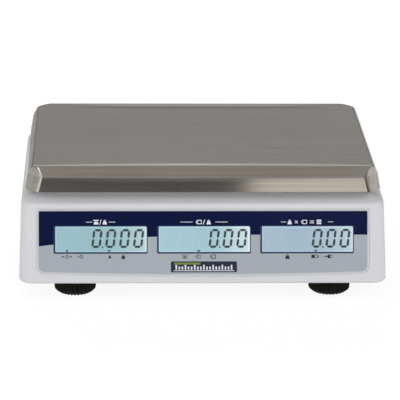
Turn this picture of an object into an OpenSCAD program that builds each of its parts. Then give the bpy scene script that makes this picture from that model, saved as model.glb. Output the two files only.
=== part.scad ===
// Retail price scale: a steel pan on a load cell, in a white housing with a
// display for the customer (-Y) and a display with keys for the operator (+Y).
// Millimetres. +Z is up, the feet stand on z = 0, the housing is centred on x = y = 0.

/* [Housing] */
// Width of the housing across its bottom edge
body_w = 347.5; // [341:0.5:380]
// Depth of the housing along its bottom edge
body_d = 350; // [346:1:380]
// Height of the housing from its bottom edge to its deck
body_h = 74; // [71:1:86]
// Wall of the housing
wall = 2.5; // [2.2:0.1:3]
// Radius of the upright corners
corner_r = 14; // [12:1:18]
// Rounding of the edges of the deck and of the operator's lip
edge_r = 4; // [3.5:0.5:5]
// Small bevel round the bottom edge
sill = 1.5; // [1:0.5:2]
// Lean of the customer's face, in degrees from upright
face_lean = 15; // [10:1:18]
// How far each side wall leans in from bottom to deck
side_draft = 2; // [1:0.5:4]
// Height of the operator's lip above the bottom edge
lip_h = 26; // [22:1:28]
// Height of the rim round the deck that sheds drips from the platter's edge
drip_h = 6.5; // [4:0.5:8]
// Depth of that rim, most of it a slope
drip_run = 13.5; // [10:0.5:20]

/* [Platter] */
// Width of the platter at the crease round its side
platter_w = 331; // [322:1:333]
// Depth of the platter at the crease round its side
platter_d = 230; // [222:1:232]
// Corner radius of the platter at its crease
platter_r = 16; // [12:1:20]
// Thickness of the steel sheet
sheet_t = 1; // [0.8:0.1:1.5]
// Height of the skirt below the crease
skirt_h = 14.5; // [11:0.5:18]
// Outward flare of the skirt from its crease to its lower edge
skirt_flare = 2.5; // [0:0.5:3]
// Height of the sloped band between the crease and the flat top
band_h = 9.3; // [7:0.1:12]
// Inward run of the sloped band
band_run = 5; // [3:0.5:8]
// Extra run of the band at the middle of the front and back edges
band_bow = 6; // [0:0.5:9]
// Gap between the deck and the skirt's lower edge
skirt_gap = 9.8; // [6:0.2:12]
// How far the skirt stands behind the front edge of the deck
skirt_set = 1.6; // [1:0.1:3]
// Deck left behind the skirt on the operator's side
deck_rest = 4.7; // [3:0.1:8]

/* [Displays] */
// Width of each overlay
overlay_w = 309.5; // [306:0.5:316]
// Height of the customer's overlay at its ends
overlay_h = 57; // [54:0.5:60]
// Height of the customer's overlay above the bottom of its face
overlay_v = 10; // [8:0.5:11]
// How far the overlay's lower edge bows down at its middle
overlay_bow = 2.4; // [0:0.2:4]
// Thickness of an overlay
overlay_t = 1.2; // [0.8:0.1:1.3]
// Gap between an overlay and the edge of its recess
overlay_gap = 2.3; // [0.5:0.1:3]
// How far an overlay lies below the face around it
overlay_sink = 0.3; // [0.1:0.1:0.4]
// Width of each display window
window_w = 87; // [80:0.5:90]
// Height of each display window
window_h = 25.1; // [22:0.1:27]
// Spacing of the three display windows
window_pitch = 97.3; // [96:0.1:99]
// How far the customer's windows stand to the right of the middle
window_shift = 0.5; // [0:0.1:2]
// Height of the customer's windows above the bottom of the face
window_v = 27.7; // [26:0.1:29]
// Thickness of a liquid crystal glass
glass_t = 2.8; // [2:0.1:3]
// Thickness of a backlight
light_t = 3.1; // [2.5:0.1:3.5]
// Thickness of the circuit boards
board_t = 1.6; // [1:0.1:2]

/* [Keys] */
// Width of a key cap
key_w = 33; // [28:0.5:34]
// Height of a key cap along the panel
key_h = 13; // [11:0.5:14]
// Spacing of the key columns
key_pitch_u = 40; // [38:0.5:40]
// Spacing of the key rows
key_pitch_v = 18; // [17.5:0.1:18]
// How far a key cap stands above its overlay
key_rise = 2.4; // [2:0.1:4]
// Travel of a key
key_travel = 1.5; // [1:0.1:1.6]
// Gap round each key cap
key_gap = 0.4; // [0.3:0.1:0.5]

/* [Weighing] */
// Length of the load cell
cell_l = 130; // [126:1:140]
// Width of the load cell
cell_w = 30; // [26:1:34]
// Height of the load cell
cell_h = 22; // [20:1:24]
// Height of the spacer under the fixed end of the load cell
spacer_h = 8; // [6:1:9]
// Side to side distance of each platter post from the middle
post_u = 110; // [100:1:120]
// Front to back distance of each platter post from the platter's middle
post_v = 75; // [70:1:85]
// Radius of a platter post
post_r = 7; // [6:0.5:8]
// Gap round each post in the deck
post_gap = 4; // [3:0.5:5]
// Thickness of a rubber pad
pad_t = 4; // [3:0.5:5]
// Depth of the arms of the cast frame
arm_h = 10; // [8:1:10]
// Travel of the frame before it meets the stops, at full overload
stop_gap = 0.65; // [0.65:0.05:1]

/* [Base] */
// Height of the feet, which is the gap under the housing
foot_h = 15.5; // [15:0.5:20]
// Radius of a foot's ridged rim
foot_r = 19.7; // [17:0.1:21]
// Radius of a foot where it meets the counter
foot_low_r = 15.8; // [12:0.2:16]
// Height of the taper under a foot's ridged rim
foot_taper = 3.5; // [3:0.5:6]
// Side to side distance of each foot from the middle
foot_u = 121; // [112:0.5:124]
// Distance of each foot from the front or back edge
foot_in = 26; // [24:0.5:30]
// Radius of a foot's stud
stud_r = 4; // [3:0.5:5]
// Running clearance of the studs and of the set screws, on the radius
run_gap = 0.05; // [0.02:0.01:0.08]
// Thickness of the floor of the base plate
floor_t = 3; // [2.5:0.1:3.5]
// Length of the battery, front to back
battery_l = 101; // [90:1:103]
// Width of the battery
battery_w = 70; // [60:1:72]
// Height of the battery
battery_h = 47; // [40:1:47]
// How far the battery door slides
door_travel = 66; // [50:1:66]

/* [Hidden] */
$fn = 48;
z_bot = foot_h;
z_deck = z_bot + body_h;
z_lip = z_bot + lip_h;
z_skirt = z_deck + skirt_gap;
z_crease = z_skirt + skirt_h;
z_top = z_crease + band_h;
front_y = -body_d / 2;
back_y = body_d / 2;
face_run = (edge_r + (body_h - edge_r - sill) * sin(face_lean)) / cos(face_lean) - edge_r;
deck_front_y = front_y + face_run;
platter_y = deck_front_y + skirt_set + skirt_flare + platter_d / 2;
deck_back_y = platter_y + platter_d / 2 + skirt_flare + deck_rest;
panel_run = back_y - deck_back_y;
panel_rise = body_h - lip_h;
panel_tilt = atan2(panel_rise, panel_run);
panel_l = norm([panel_run, panel_rise]);
recess_t = overlay_t + overlay_sink;
// the drip rim, from where the deck's rounded edges end
drip_in = edge_r - 1;
// depths behind the outer face of a display panel
glass_n = wall + 0.5;
light_n = glass_n + glass_t + 0.1;
board_n = light_n + light_t + 0.1;
lcd_w = window_w + 5;
lcd_h = window_h + 6;
// the operator's panel, measured up its slope
panel_v = 4.5;
panel_h = panel_l - 9;
op_window_v = panel_l - 36;
key_v = panel_v + 9;
mat_t = 1;
// the base plate
floor_lo = z_bot + 4;
floor_hi = floor_lo + floor_t;
plate_gap = 0.4;
foot_y = body_d / 2 - foot_in;
post_x = body_w / 2 - 16;
battery_y = platter_y + cell_w / 2 + 7 + battery_l / 2;
battery_z = floor_lo - 0.1;
door_t = 2.2;
door_w = battery_w + 14;
door_l = battery_l + 11;
door_z = floor_lo - 0.4 - door_t;
// the weighing frame
cell_z = floor_hi + spacer_h;
cell_top = cell_z + cell_h;
arm_top = z_deck - wall - 3.5;
arm_z = arm_top - arm_h;
post_top = z_top - sheet_t - pad_t;
stop_f = 0.72;
// small screws
pin_r = 1.2;
pin_bore = pin_r + run_gap;

KEYS = [
  ["key_7", 0, 2, 1], ["key_8", 1, 2, 1], ["key_9", 2, 2, 1], ["key_clear", 3, 2, 1],
  ["key_4", 0, 1, 1], ["key_5", 1, 1, 1], ["key_6", 2, 1, 1], ["key_point", 3, 1, 1],
  ["key_1", 0, 0, 1], ["key_2", 1, 0, 1], ["key_3", 2, 0, 1], ["key_0", 3, 0, 1],
  ["key_memory_1", 4, 2, 1], ["key_memory_2", 4, 1, 1], ["key_memory_3", 4, 0, 1],
  ["key_zero", 5, 2, 1], ["key_tare", 5, 1, 1], ["key_unit", 5, 0, 1],
  ["key_light", 6, 2, 1], ["key_total", 6, 0, 2]
];
FEET = [["front_left", -1, -1], ["front_right", 1, -1], ["back_left", -1, 1], ["back_right", 1, 1]];

// Points of a rounded rectangle, n steps to a corner
function turn(cx, cy, r, a, n) =
  [for (i = [0:n]) let (b = a + 90 * i / n) [cx + r * cos(b), cy + r * sin(b)]];
function rounded(w, d, r, n = 6) = concat(
  turn(w / 2 - r, d / 2 - r, r, 0, n), turn(-w / 2 + r, d / 2 - r, r, 90, n),
  turn(-w / 2 + r, -d / 2 + r, r, 180, n), turn(w / 2 - r, -d / 2 + r, r, 270, n));

module plate(w, d, r, h) { linear_extrude(height = h) polygon(rounded(w, d, r)); }

// Frames of the two panels: x to the reader's right, y up the panel, z out of it
module on_face() { translate([0, front_y, z_bot + sill]) rotate([90 - face_lean, 0, 0]) children(); }
module on_panel() {
  translate([0, back_y - edge_r + edge_r * sin(panel_tilt), z_lip - edge_r + edge_r * cos(panel_tilt)])
    rotate([panel_tilt, 0, 180]) children();
}

// A screw along -z with its head above z = 0
module screw(r, len, head_r, head_h) {
  translate([0, 0, -len]) cylinder(r = r, h = len);
  difference() {
    cylinder(r = head_r, h = head_h);
    translate([0, 0, head_h / 2]) cube([head_r * 1.2, head_r * 0.3, head_h * 1.02], center = true);
  }
}

// A disc whose upper rim is rounded, below z = 0
module rim_disc(r, e) {
  rotate_extrude($fn = 32) polygon(concat([[0, -e - 1], [r, -e - 1]],
    [for (a = [0:22.5:90]) [r - e + e * cos(a), -e + e * sin(a)]], [[0, 0]]));
}
function half_w(z) = body_w / 2 - side_draft * (z - z_bot) / body_h;

module body_form(t) {
  r = corner_r - t;
  e = edge_r - t;
  hull() {
    for (s = [-1, 1]) {
      for (y = [front_y + corner_r, back_y - corner_r])
        translate([s * (body_w / 2 - corner_r), y, z_bot - (t > 0 ? 1 : 0)])
          cylinder(r1 = r - (t > 0 ? 0 : sill), r2 = r, h = sill + (t > 0 ? 1 : 0), $fn = 32);
      translate([s * (half_w(z_lip) - corner_r), back_y - corner_r, z_lip - t]) rim_disc(r, e);
      for (y = [deck_front_y + corner_r, deck_back_y - corner_r])
        translate([s * (half_w(z_deck) - corner_r), y, z_deck - t]) rim_disc(r, e);
    }
  }
}

// Outline of the customer's overlay, grown by g, with its lower edge bowed
module overlay_outline(g) {
  w = overlay_w / 2 + g;
  lo = overlay_v - g;
  hi = overlay_v + overlay_h + g;
  rb = 5 + g;
  rt = 1 + g / 2;
  polygon(concat(
    turn(w - rt, hi - rt, rt, 0, 4), turn(-w + rt, hi - rt, rt, 90, 4), turn(-w + rb, lo + rb, rb, 180, 6),
    [for (i = [1:23]) let (x = -1 + i / 12) [x * (w - rb), lo - overlay_bow * (1 - x * x)]],
    turn(w - rb, lo + rb, rb, 270, 6)));
}
module panel_outline(g) {
  translate([0, panel_v + panel_h / 2]) polygon(rounded(overlay_w + 2 * g, panel_h + 2 * g, 4 + g));
}

// Three blocks of w by h, in a row behind the windows, from depth n to depth n + t
module triple(v, shift, w, h, r, n, t) {
  for (i = [-1:1]) translate([i * window_pitch + shift, v + window_h / 2, -n - t]) plate(w, h, r, t);
}

// Where the boards are screwed to the housing, measured on each panel
boss_off = 6.2;
FACE_BOSSES = [for (x = [-1:1]) for (v = [window_v - boss_off, window_v + window_h + boss_off])
  [x * (overlay_w / 2 - 9), v]];
strip_v = (key_v + 2 * key_pitch_v + key_h / 2 + 1.5 + op_window_v - 3) / 2;
PANEL_BOSSES = concat(
  [for (s = [-1, 1]) for (v = [key_v - 1.5, key_v + 1.25 * key_pitch_v, strip_v])
    [s * (overlay_w / 2 - 10), v]],
  [for (s = [-1, 1]) [s * window_pitch / 2, strip_v]]);
module bosses(list) {
  for (b = list) translate([b[0], b[1], -board_n]) cylinder(r = 2.6, h = board_n - wall + 0.4);
}
module boss_bores(list) {
  for (b = list) translate([b[0], b[1], -board_n - 0.1]) cylinder(r = pin_bore, h = board_n - wall);
}

// Places of the posts that take the housing screws
HOUSING_POSTS = [for (s = [-1, 1]) for (y = [front_y + 36, platter_y + 48, back_y - 25]) [s * post_x, y]];
SUPPORTS = [for (s = [-1, 1]) for (t = [-1, 1]) [s, t]];
jack_y = back_y - 70;
jack_z = z_bot + 20;
jack_r = 5.3;
vial_y = platter_y + platter_d / 2 - 22;
vial_r = 8;
module at_jack() { translate([-half_w(jack_z), jack_y, jack_z]) rotate([0, -90, 0]) children(); }

function key_at(k) = [(k[1] - 3) * key_pitch_u, key_v + (k[2] + (k[3] - 1) / 2) * key_pitch_v];
function key_len(k) = key_h + (k[3] - 1) * key_pitch_v;
module key_cuts(n, h) {
  for (k = KEYS) translate([key_at(k)[0], key_at(k)[1], n])
    plate(key_w + 2 * key_gap, key_len(k) + 2 * key_gap, 1.5 + key_gap, h);
}

// Outline of the drip rim drawn in by a, as a block of height h
module rim_block(a, z, h) {
  translate([0, (deck_front_y + deck_back_y) / 2, z])
    plate(2 * (half_w(z_deck) - drip_in - a), deck_back_y - deck_front_y - 2 * (drip_in + a),
          max(corner_r - drip_in - a, 3), h);
}
module top_housing() {
  color([0.86, 0.86, 0.84]) difference() {
    union() {
      difference() { body_form(0); body_form(wall); }
      intersection() {
        body_form(wall / 2);
        for (p = HOUSING_POSTS) translate([p[0], p[1], floor_hi + 0.1]) cylinder(r = 4.5, h = body_h);
      }
      on_face() bosses(FACE_BOSSES);
      on_panel() bosses(PANEL_BOSSES);
      difference() {
        hull() {
          rim_block(0, z_deck - wall / 2, wall / 2);
          rim_block(drip_run - 2, z_deck, drip_h);
        }
        rim_block(drip_run, z_deck - wall, wall + drip_h + 1);
      }
      // raised collars keep spills out of the post holes
      for (s = SUPPORTS) translate([s[0] * post_u, platter_y + s[1] * post_v, z_deck - wall / 2])
        cylinder(r = post_r + post_gap + 2, h = wall / 2 + 4);
    }
    for (s = SUPPORTS) translate([s[0] * post_u, platter_y + s[1] * post_v, z_deck - wall - 1])
      cylinder(r = post_r + post_gap, h = wall + 6);
    translate([0, vial_y, z_deck - wall - 1]) cylinder(r = vial_r + 0.2, h = wall + 2);
    for (p = HOUSING_POSTS) translate([p[0], p[1], floor_hi]) cylinder(r = 1.4 + run_gap, h = 14);
    on_face() {
      translate([0, 0, -recess_t]) linear_extrude(height = recess_t + 3) overlay_outline(overlay_gap);
      triple(window_v, window_shift, window_w - 2, window_h - 2, 1, 0, wall + 1);
      boss_bores(FACE_BOSSES);
    }
    on_panel() {
      translate([0, 0, -recess_t]) linear_extrude(height = recess_t + 3) panel_outline(overlay_gap);
      triple(op_window_v, 0, window_w - 2, window_h - 2, 1, 0, wall + 1);
      key_cuts(-wall - 1, wall + 2);
      boss_bores(PANEL_BOSSES);
    }
    at_jack() translate([0, 0, -wall - 2]) cylinder(r = jack_r + 0.2, h = wall + 4);
  }
}

// The two displays
module customer_overlay() {
  color([0.10, 0.14, 0.34]) on_face() difference() {
    translate([0, 0, -recess_t]) linear_extrude(height = overlay_t) overlay_outline(0);
    triple(window_v, window_shift, window_w, window_h, 2, -1, recess_t + 2);
  }
}
module operator_overlay() {
  color([0.10, 0.14, 0.34]) on_panel() difference() {
    translate([0, 0, -recess_t]) linear_extrude(height = overlay_t) panel_outline(0);
    triple(op_window_v, 0, window_w, window_h, 2, -1, recess_t + 2);
    key_cuts(-recess_t - 1, recess_t + 2);
  }
}
module windows(v, shift) {
  triple(v, shift, window_w - 0.2, window_h - 0.2, 1.9, overlay_sink, overlay_t);
}
module lcds(v, shift) { triple(v, shift, lcd_w, lcd_h, 0.5, glass_n, glass_t); }
module backlights(v, shift) { triple(v, shift, lcd_w, lcd_h, 0.5, light_n, light_t); }
module customer_windows() { color([0.7, 0.85, 0.9, 0.5]) on_face() windows(window_v, window_shift); }
module customer_lcds() { color([0.6, 0.8, 0.85]) on_face() lcds(window_v, window_shift); }
module customer_backlights() { color([0.9, 0.95, 1]) on_face() backlights(window_v, window_shift); }
module operator_windows() { color([0.7, 0.85, 0.9, 0.5]) on_panel() windows(op_window_v, 0); }
module operator_lcds() { color([0.6, 0.8, 0.85]) on_panel() lcds(op_window_v, 0); }
module operator_backlights() { color([0.9, 0.95, 1]) on_panel() backlights(op_window_v, 0); }

// A circuit board from v0 to v1, bored for its screws, with parts on its back
module panel_board(w, v0, v1, list) {
  difference() {
    union() {
      translate([0, (v0 + v1) / 2, -board_n - board_t]) plate(w, v1 - v0, 1.5, board_t);
      for (x = [-0.3, 0.28]) translate([x * w, (v0 + v1) / 2, -board_n - board_t - 1])
        cube([14, 14, 2.01], center = true);
      translate([0, (v0 + v1) / 2 + 6, -board_n - board_t - 2.5]) cube([24, 6, 5.01], center = true);
    }
    for (b = list) translate([b[0], b[1], -board_n - board_t - 1]) cylinder(r = 1.5, h = board_t + 2);
  }
}
module customer_board() {
  color([0.1, 0.4, 0.2]) on_face()
    panel_board(overlay_w - 8, window_v - 9, window_v + window_h + 9.5, FACE_BOSSES);
}
module operator_board() {
  color([0.1, 0.4, 0.2]) on_panel()
    panel_board(overlay_w - 12, panel_v + 1, op_window_v + window_h + 4, PANEL_BOSSES);
}

// Keys, with a flange under the housing and a stem into the mat's collar
stem_n = board_n - mat_t - 0.4 - key_travel;
module key(k) {
  n1 = wall + 0.3;
  top = key_rise - overlay_sink;
  color([0.8, 0.82, 0.84]) on_panel() translate([key_at(k)[0], key_at(k)[1], 0]) {
    translate([0, 0, -n1 - 1.2]) plate(key_w + 3, key_len(k) + 3, 1.5, 1.2);
    translate([0, 0, -n1]) plate(key_w, key_len(k), 1.5, n1 + top - 0.7);
    translate([0, 0, top - 0.7]) plate(key_w - 1.2, key_len(k) - 1.2, 1.2, 0.7);
    translate([0, 0, -stem_n]) cylinder(r = 3, h = stem_n - n1);
  }
}
module keypad_mat() {
  v0 = key_v - key_h / 2 - 1.2;
  v1 = key_v + 2 * key_pitch_v + key_h / 2 + 1.2;
  n = board_n - 0.1;
  collar = n - mat_t - (wall + 1.5 + key_travel + 0.2);
  color([0.75, 0.75, 0.75]) on_panel() {
    translate([0, (v0 + v1) / 2, -n]) plate(6 * key_pitch_u + key_w + 9, v1 - v0, 2, mat_t);
    for (k = KEYS) translate([key_at(k)[0], key_at(k)[1], -n + mat_t / 2]) difference() {
      cylinder(r = 5, h = collar + mat_t / 2);
      translate([0, 0, mat_t / 2]) cylinder(r = 3.6, h = collar + 1);
    }
  }
}

// Main board on the base plate: its screws, the plug of the cell's lead and its parts
main_w = 90;
main_x = 101;
main_back = 43;
main_y = back_y - main_back - main_w / 2;
main_z = floor_hi + 5;
main_top = main_z + board_t;
hole_in = 5;
hole_u = main_w / 2 - hole_in;
MAIN_HOLES = [for (s = SUPPORTS) [main_x + s[0] * hole_u, main_y + s[1] * hole_u]];
plug_w = 12;
plug_h = 8;
plug_x = main_x - hole_u + 16;
plug_y = main_y - main_w / 2;
socket_w = 30;
socket_h = 6;
can_r = 5;
can_h = 13;
module main_board() {
  color([0.1, 0.4, 0.2]) difference() {
    union() {
      translate([main_x, main_y, main_z]) plate(main_w, main_w, 2, board_t);
      translate([plug_x - plug_w / 2, plug_y, main_top - 0.01]) cube([plug_w, plug_h, plug_h]);
      translate([main_x + main_w / 6, main_y - main_w / 8, main_top + 0.99])
        cube([20, 20, 2], center = true);
      translate([main_x - main_w / 5, main_y + main_w / 9, main_top + 0.99])
        cube([14, 10, 2], center = true);
      for (x = [main_w / 11, main_w / 4])
        translate([main_x + x, main_y - hole_u + can_r, main_top - 0.01]) cylinder(r = can_r, h = can_h);
      translate([main_x - socket_w / 2, main_y + main_w / 2 - hole_in - socket_h / 2, main_top - 0.01])
        cube([socket_w, socket_h, socket_h]);
    }
    for (h = MAIN_HOLES) translate([h[0], h[1], main_z - 1]) cylinder(r = 1.5, h = board_t + 2);
  }
}

// One kind of small screw holds the boards and the battery strap
STRAP_HOLES = [for (s = [-1, 1]) [s * (battery_w / 2 + 8), battery_y]];
module board_screws() {
  color([0.7, 0.7, 0.72]) {
    on_face() for (b = FACE_BOSSES) translate([b[0], b[1], -board_n - board_t - 0.05])
      mirror([0, 0, 1]) screw(pin_r, 6, 2.3, 1.6);
    on_panel() for (b = PANEL_BOSSES) translate([b[0], b[1], -board_n - board_t - 0.05])
      mirror([0, 0, 1]) screw(pin_r, 6, 2.3, 1.6);
    for (h = MAIN_HOLES) translate([h[0], h[1], main_z + board_t + 0.05]) screw(pin_r, 6, 2.3, 1.6);
    for (h = STRAP_HOLES) translate([h[0], h[1], floor_hi + 1.65]) screw(pin_r, 3.5, 2.3, 1.6);
  }
}

// Platter: outer form less inner form, each a stack of rings
module ring_stack(rings) {
  n = len(rings[0]);
  m = len(rings);
  pts = [for (r = rings) each r];
  polyhedron(points = pts, faces = concat(
    [[for (i = [0:n - 1]) i]],
    [for (j = [0:m - 2]) for (i = [0:n - 1]) [j * n + i, (j + 1) * n + i, (j + 1) * n + (i + 1) % n]],
    [for (j = [0:m - 2]) for (i = [0:n - 1]) [j * n + i, (j + 1) * n + (i + 1) % n, j * n + (i + 1) % n]],
    [[for (i = [n - 1:-1:0]) (m - 1) * n + i]]), convexity = 6);
}
// One ring: the crease outline drawn in by a, at height z, with its long edges bowed in by b
function pan_ring(a, z, b) =
  let (w = platter_w / 2 - a, d = platter_d / 2 - a, r = max(platter_r - a * 0.7, 4),
       up = [for (i = [1:11]) let (x = 1 - i / 6) [x * (w - r), d - b * (1 - x * x)]],
       half = concat(turn(w - r, d - r, r, 0, 6), up, turn(-w + r, d - r, r, 90, 6)))
  [for (p = concat(half, -half)) [p[0], platter_y + p[1], z]];
module weighing_platter() {
  bend = 1.3;
  color([0.62, 0.61, 0.58]) difference() {
    ring_stack([
      pan_ring(-skirt_flare, z_skirt, 0), pan_ring(0, z_crease, 0),
      pan_ring(band_run * 0.82, z_top - bend, band_bow * 0.7),
      pan_ring(band_run * 1.05, z_top - bend * 0.3, band_bow * 0.9),
      pan_ring(band_run * 1.4, z_top, band_bow)]);
    ring_stack([
      pan_ring(sheet_t - skirt_flare * 1.07, z_skirt - 1, 0),
      pan_ring(sheet_t, z_crease - sheet_t * 0.5, 0),
      pan_ring(band_run * 0.82 + sheet_t, z_top - bend - sheet_t * 0.7, band_bow * 0.7),
      pan_ring(band_run * 1.4 + sheet_t * 0.6, z_top - sheet_t, band_bow)]);
  }
}
module platter_pads() {
  color([0.08, 0.08, 0.08]) for (s = SUPPORTS)
    translate([s[0] * post_u, platter_y + s[1] * post_v, post_top]) {
      cylinder(r = post_r, h = pad_t);
      translate([0, 0, -5]) cylinder(r = 3, h = 5.5);
    }
}

// Cast frame: a hub with four arms and posts, and a pedestal on the load cell
live_x = cell_l / 2 - 20;
module platter_spider() {
  color([0.6, 0.61, 0.62]) difference() {
    union() {
      translate([0, platter_y, arm_z]) plate(cell_l, 60, 8, arm_h);
      for (s = SUPPORTS) {
        a = atan2(s[1] * post_v, s[0] * post_u);
        translate([0, platter_y, arm_z]) rotate([0, 0, a])
          translate([0, -7, 0]) cube([norm([post_u, post_v]), 14, arm_h]);
        translate([s[0] * post_u, platter_y + s[1] * post_v, arm_z])
          cylinder(r = post_r, h = post_top - arm_z);
      }
      translate([live_x - 20, platter_y - cell_w / 2, cell_top]) cube([40, cell_w, arm_z - cell_top + 1]);
    }
    for (x = [-7.5, 7.5]) translate([live_x + x, platter_y, 0]) {
      translate([0, 0, cell_top - 1]) cylinder(r = 3.3, h = arm_top);
      translate([0, 0, arm_z + 4]) cylinder(r = 5.6, h = arm_h);
    }
    for (s = SUPPORTS) translate([s[0] * post_u, platter_y + s[1] * post_v, post_top - 5.5])
      cylinder(r = 3 + run_gap, h = 6);
  }
}
module spider_screws() {
  color([0.75, 0.75, 0.77]) for (x = [-7.5, 7.5])
    translate([live_x + x, platter_y, arm_z + 4]) screw(3, arm_z + 4 - cell_top + 12, 5, 5.5);
}
module load_cell() {
  color([0.75, 0.76, 0.78]) difference() {
    translate([-cell_l / 2, platter_y - cell_w / 2, cell_z]) cube([cell_l, cell_w, cell_h]);
    for (x = [-13, 13]) translate([x, platter_y + cell_w, cell_z + cell_h / 2])
      rotate([90, 0, 0]) cylinder(r = 7.5, h = 2 * cell_w);
    translate([0, platter_y, cell_z + cell_h / 2]) cube([26, 2 * cell_w, 5], center = true);
    for (x = [-7.5, 7.5]) {
      translate([live_x + x, platter_y, cell_top - 14]) cylinder(r = 3 + run_gap, h = 15);
      translate([-live_x + x, platter_y, cell_z - 1]) cylinder(r = 3 + run_gap, h = 15);
    }
  }
}
module load_cell_spacer() {
  color([0.6, 0.6, 0.62]) difference() {
    translate([-cell_l / 2, platter_y - cell_w / 2, floor_hi]) cube([40, cell_w, spacer_h]);
    for (x = [-7.5, 7.5]) translate([-live_x + x, platter_y, floor_hi - 1])
      cylinder(r = 3.3, h = spacer_h + 2);
  }
}
module load_cell_screws() {
  color([0.75, 0.75, 0.77]) for (x = [-7.5, 7.5])
    translate([-live_x + x, platter_y, floor_lo]) mirror([0, 0, 1])
      screw(3, floor_t + spacer_h + 12, 5, 3.4);
}
stop_l = 26;
stop_r = 2.5;
module at_stops() {
  for (s = SUPPORTS) translate([s[0] * post_u * stop_f, platter_y + s[1] * post_v * stop_f, 0]) children();
}
module overload_stops() {
  color([0.75, 0.75, 0.77]) at_stops() difference() {
    translate([0, 0, arm_z - stop_l]) cylinder(r = stop_r, h = stop_l - stop_gap);
    translate([0, 0, arm_z - stop_gap - 2.5]) cylinder(r = 1.4, h = 3, $fn = 6);
  }
}

// Base plate
plate_w = 2 * (half_w(floor_hi) - wall - plate_gap);
plate_front = front_y + (floor_hi - z_bot - sill) * tan(face_lean) + wall + plate_gap;
plate_back = back_y - wall - plate_gap;
plate_d = plate_back - plate_front;
plate_y = (plate_front + plate_back) / 2;
plate_r = corner_r - wall;
switch_x = -115;
switch_y = battery_y + 10;
rail_x = door_w / 2 + 0.4;
rail_z = door_z - 1.2;
rail_y = battery_y - door_l / 2 - 0.5;
module at_feet() {
  for (f = FEET) translate([f[1] * foot_u, f[2] * foot_y, 0]) children();
}
module base_plate() {
  color([0.3, 0.3, 0.31]) difference() {
    union() {
      translate([0, plate_y, floor_lo]) plate(plate_w, plate_d, plate_r, floor_t);
      difference() {
        translate([0, plate_y, z_bot + 1]) plate(plate_w, plate_d, plate_r, floor_lo - z_bot);
        translate([0, plate_y, z_bot]) plate(plate_w - 6, plate_d - 6, plate_r - 3, floor_lo - z_bot);
      }
      at_feet() translate([0, 0, z_bot + 0.2]) cylinder(r = 11, h = 13.8);
      at_stops() translate([0, 0, floor_lo + 1]) cylinder(r = 6, h = arm_z - 12 - floor_lo - 1);
      for (h = MAIN_HOLES) translate([h[0], h[1], floor_lo + 1])
        cylinder(r = 3.5, h = main_z - floor_lo - 1);
      for (s = [-1, 1]) {
        translate([s * (rail_x + 1.25) - 1.25, rail_y - 2.5, rail_z])
          cube([2.5, door_l + door_travel + 3, floor_lo - rail_z + 1]);
        translate([s * (rail_x - 0.5) - 2, rail_y - 2.5, rail_z]) cube([4, door_l + door_travel + 3, 0.8]);
      }
      translate([-rail_x - 2.5, rail_y - 2.5, rail_z]) cube([2 * rail_x + 5, 2.5, floor_lo - rail_z + 1]);
    }
    at_feet() translate([0, 0, z_bot - 1]) cylinder(r = stud_r + run_gap, h = 20);
    at_stops() translate([0, 0, arm_z - stop_l - 1]) cylinder(r = stop_r + run_gap, h = 20);
    for (p = HOUSING_POSTS) translate([p[0], p[1], floor_lo - 1]) cylinder(r = 1.7, h = floor_t + 2);
    for (h = MAIN_HOLES) translate([h[0], h[1], main_z - 7]) cylinder(r = pin_bore, h = 8);
    for (h = STRAP_HOLES) translate([h[0], h[1], floor_lo - 0.5]) cylinder(r = pin_bore, h = floor_t + 1);
    for (x = [-7.5, 7.5]) translate([-live_x + x, platter_y, floor_lo - 1])
      cylinder(r = 3.3, h = floor_t + 2);
    translate([-battery_w / 2 - 1, battery_y - battery_l / 2 - 1, floor_lo - 1])
      cube([battery_w + 2, battery_l + 2, floor_t + 2]);
    translate([switch_x, switch_y, floor_lo]) cube([20, 14, 3 * floor_t], center = true);
  }
}
module housing_screws() {
  color([0.75, 0.75, 0.77]) for (p = HOUSING_POSTS)
    translate([p[0], p[1], floor_lo - 0.05]) mirror([0, 0, 1]) screw(1.4, floor_t + 11, 3, 2.4);
}
module battery() {
  color([0.15, 0.15, 0.17]) {
    translate([-battery_w / 2, battery_y - battery_l / 2, battery_z])
      cube([battery_w, battery_l, battery_h]);
    for (x = [-22, 22])
      translate([x - 3, battery_y + battery_l / 2 - 0.5, battery_z + battery_h - 8]) cube([6, 6.5, 0.8]);
  }
}
module battery_strap() {
  x = battery_w / 2 + 1.5;
  z = battery_z + battery_h + 0.4;
  color([0.7, 0.7, 0.72]) difference() {
    translate([0, battery_y - 9, 0]) {
      translate([-x - 1.5, 0, z]) cube([2 * x + 3, 18, 1.5]);
      for (s = [-1, 1]) {
        translate([s * (x + 0.75) - 0.75, 0, floor_hi + 0.05]) cube([1.5, 18, z + 1 - floor_hi]);
        translate([s * (x + 5.5) - 5.5, 0, floor_hi + 0.05]) cube([11, 18, 1.5]);
      }
    }
    for (h = STRAP_HOLES) translate([h[0], h[1], floor_hi - 1]) cylinder(r = 1.5, h = 5);
  }
}
module battery_door() {
  color([0.28, 0.28, 0.29]) difference() {
    translate([0, battery_y, door_z]) plate(door_w, door_l, 1.5, door_t);
    for (i = [0:4]) translate([0, battery_y + door_l / 2 - 10 - 4 * i, door_z])
      cube([36, 1.6, 1.6], center = true);
  }
}

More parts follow.
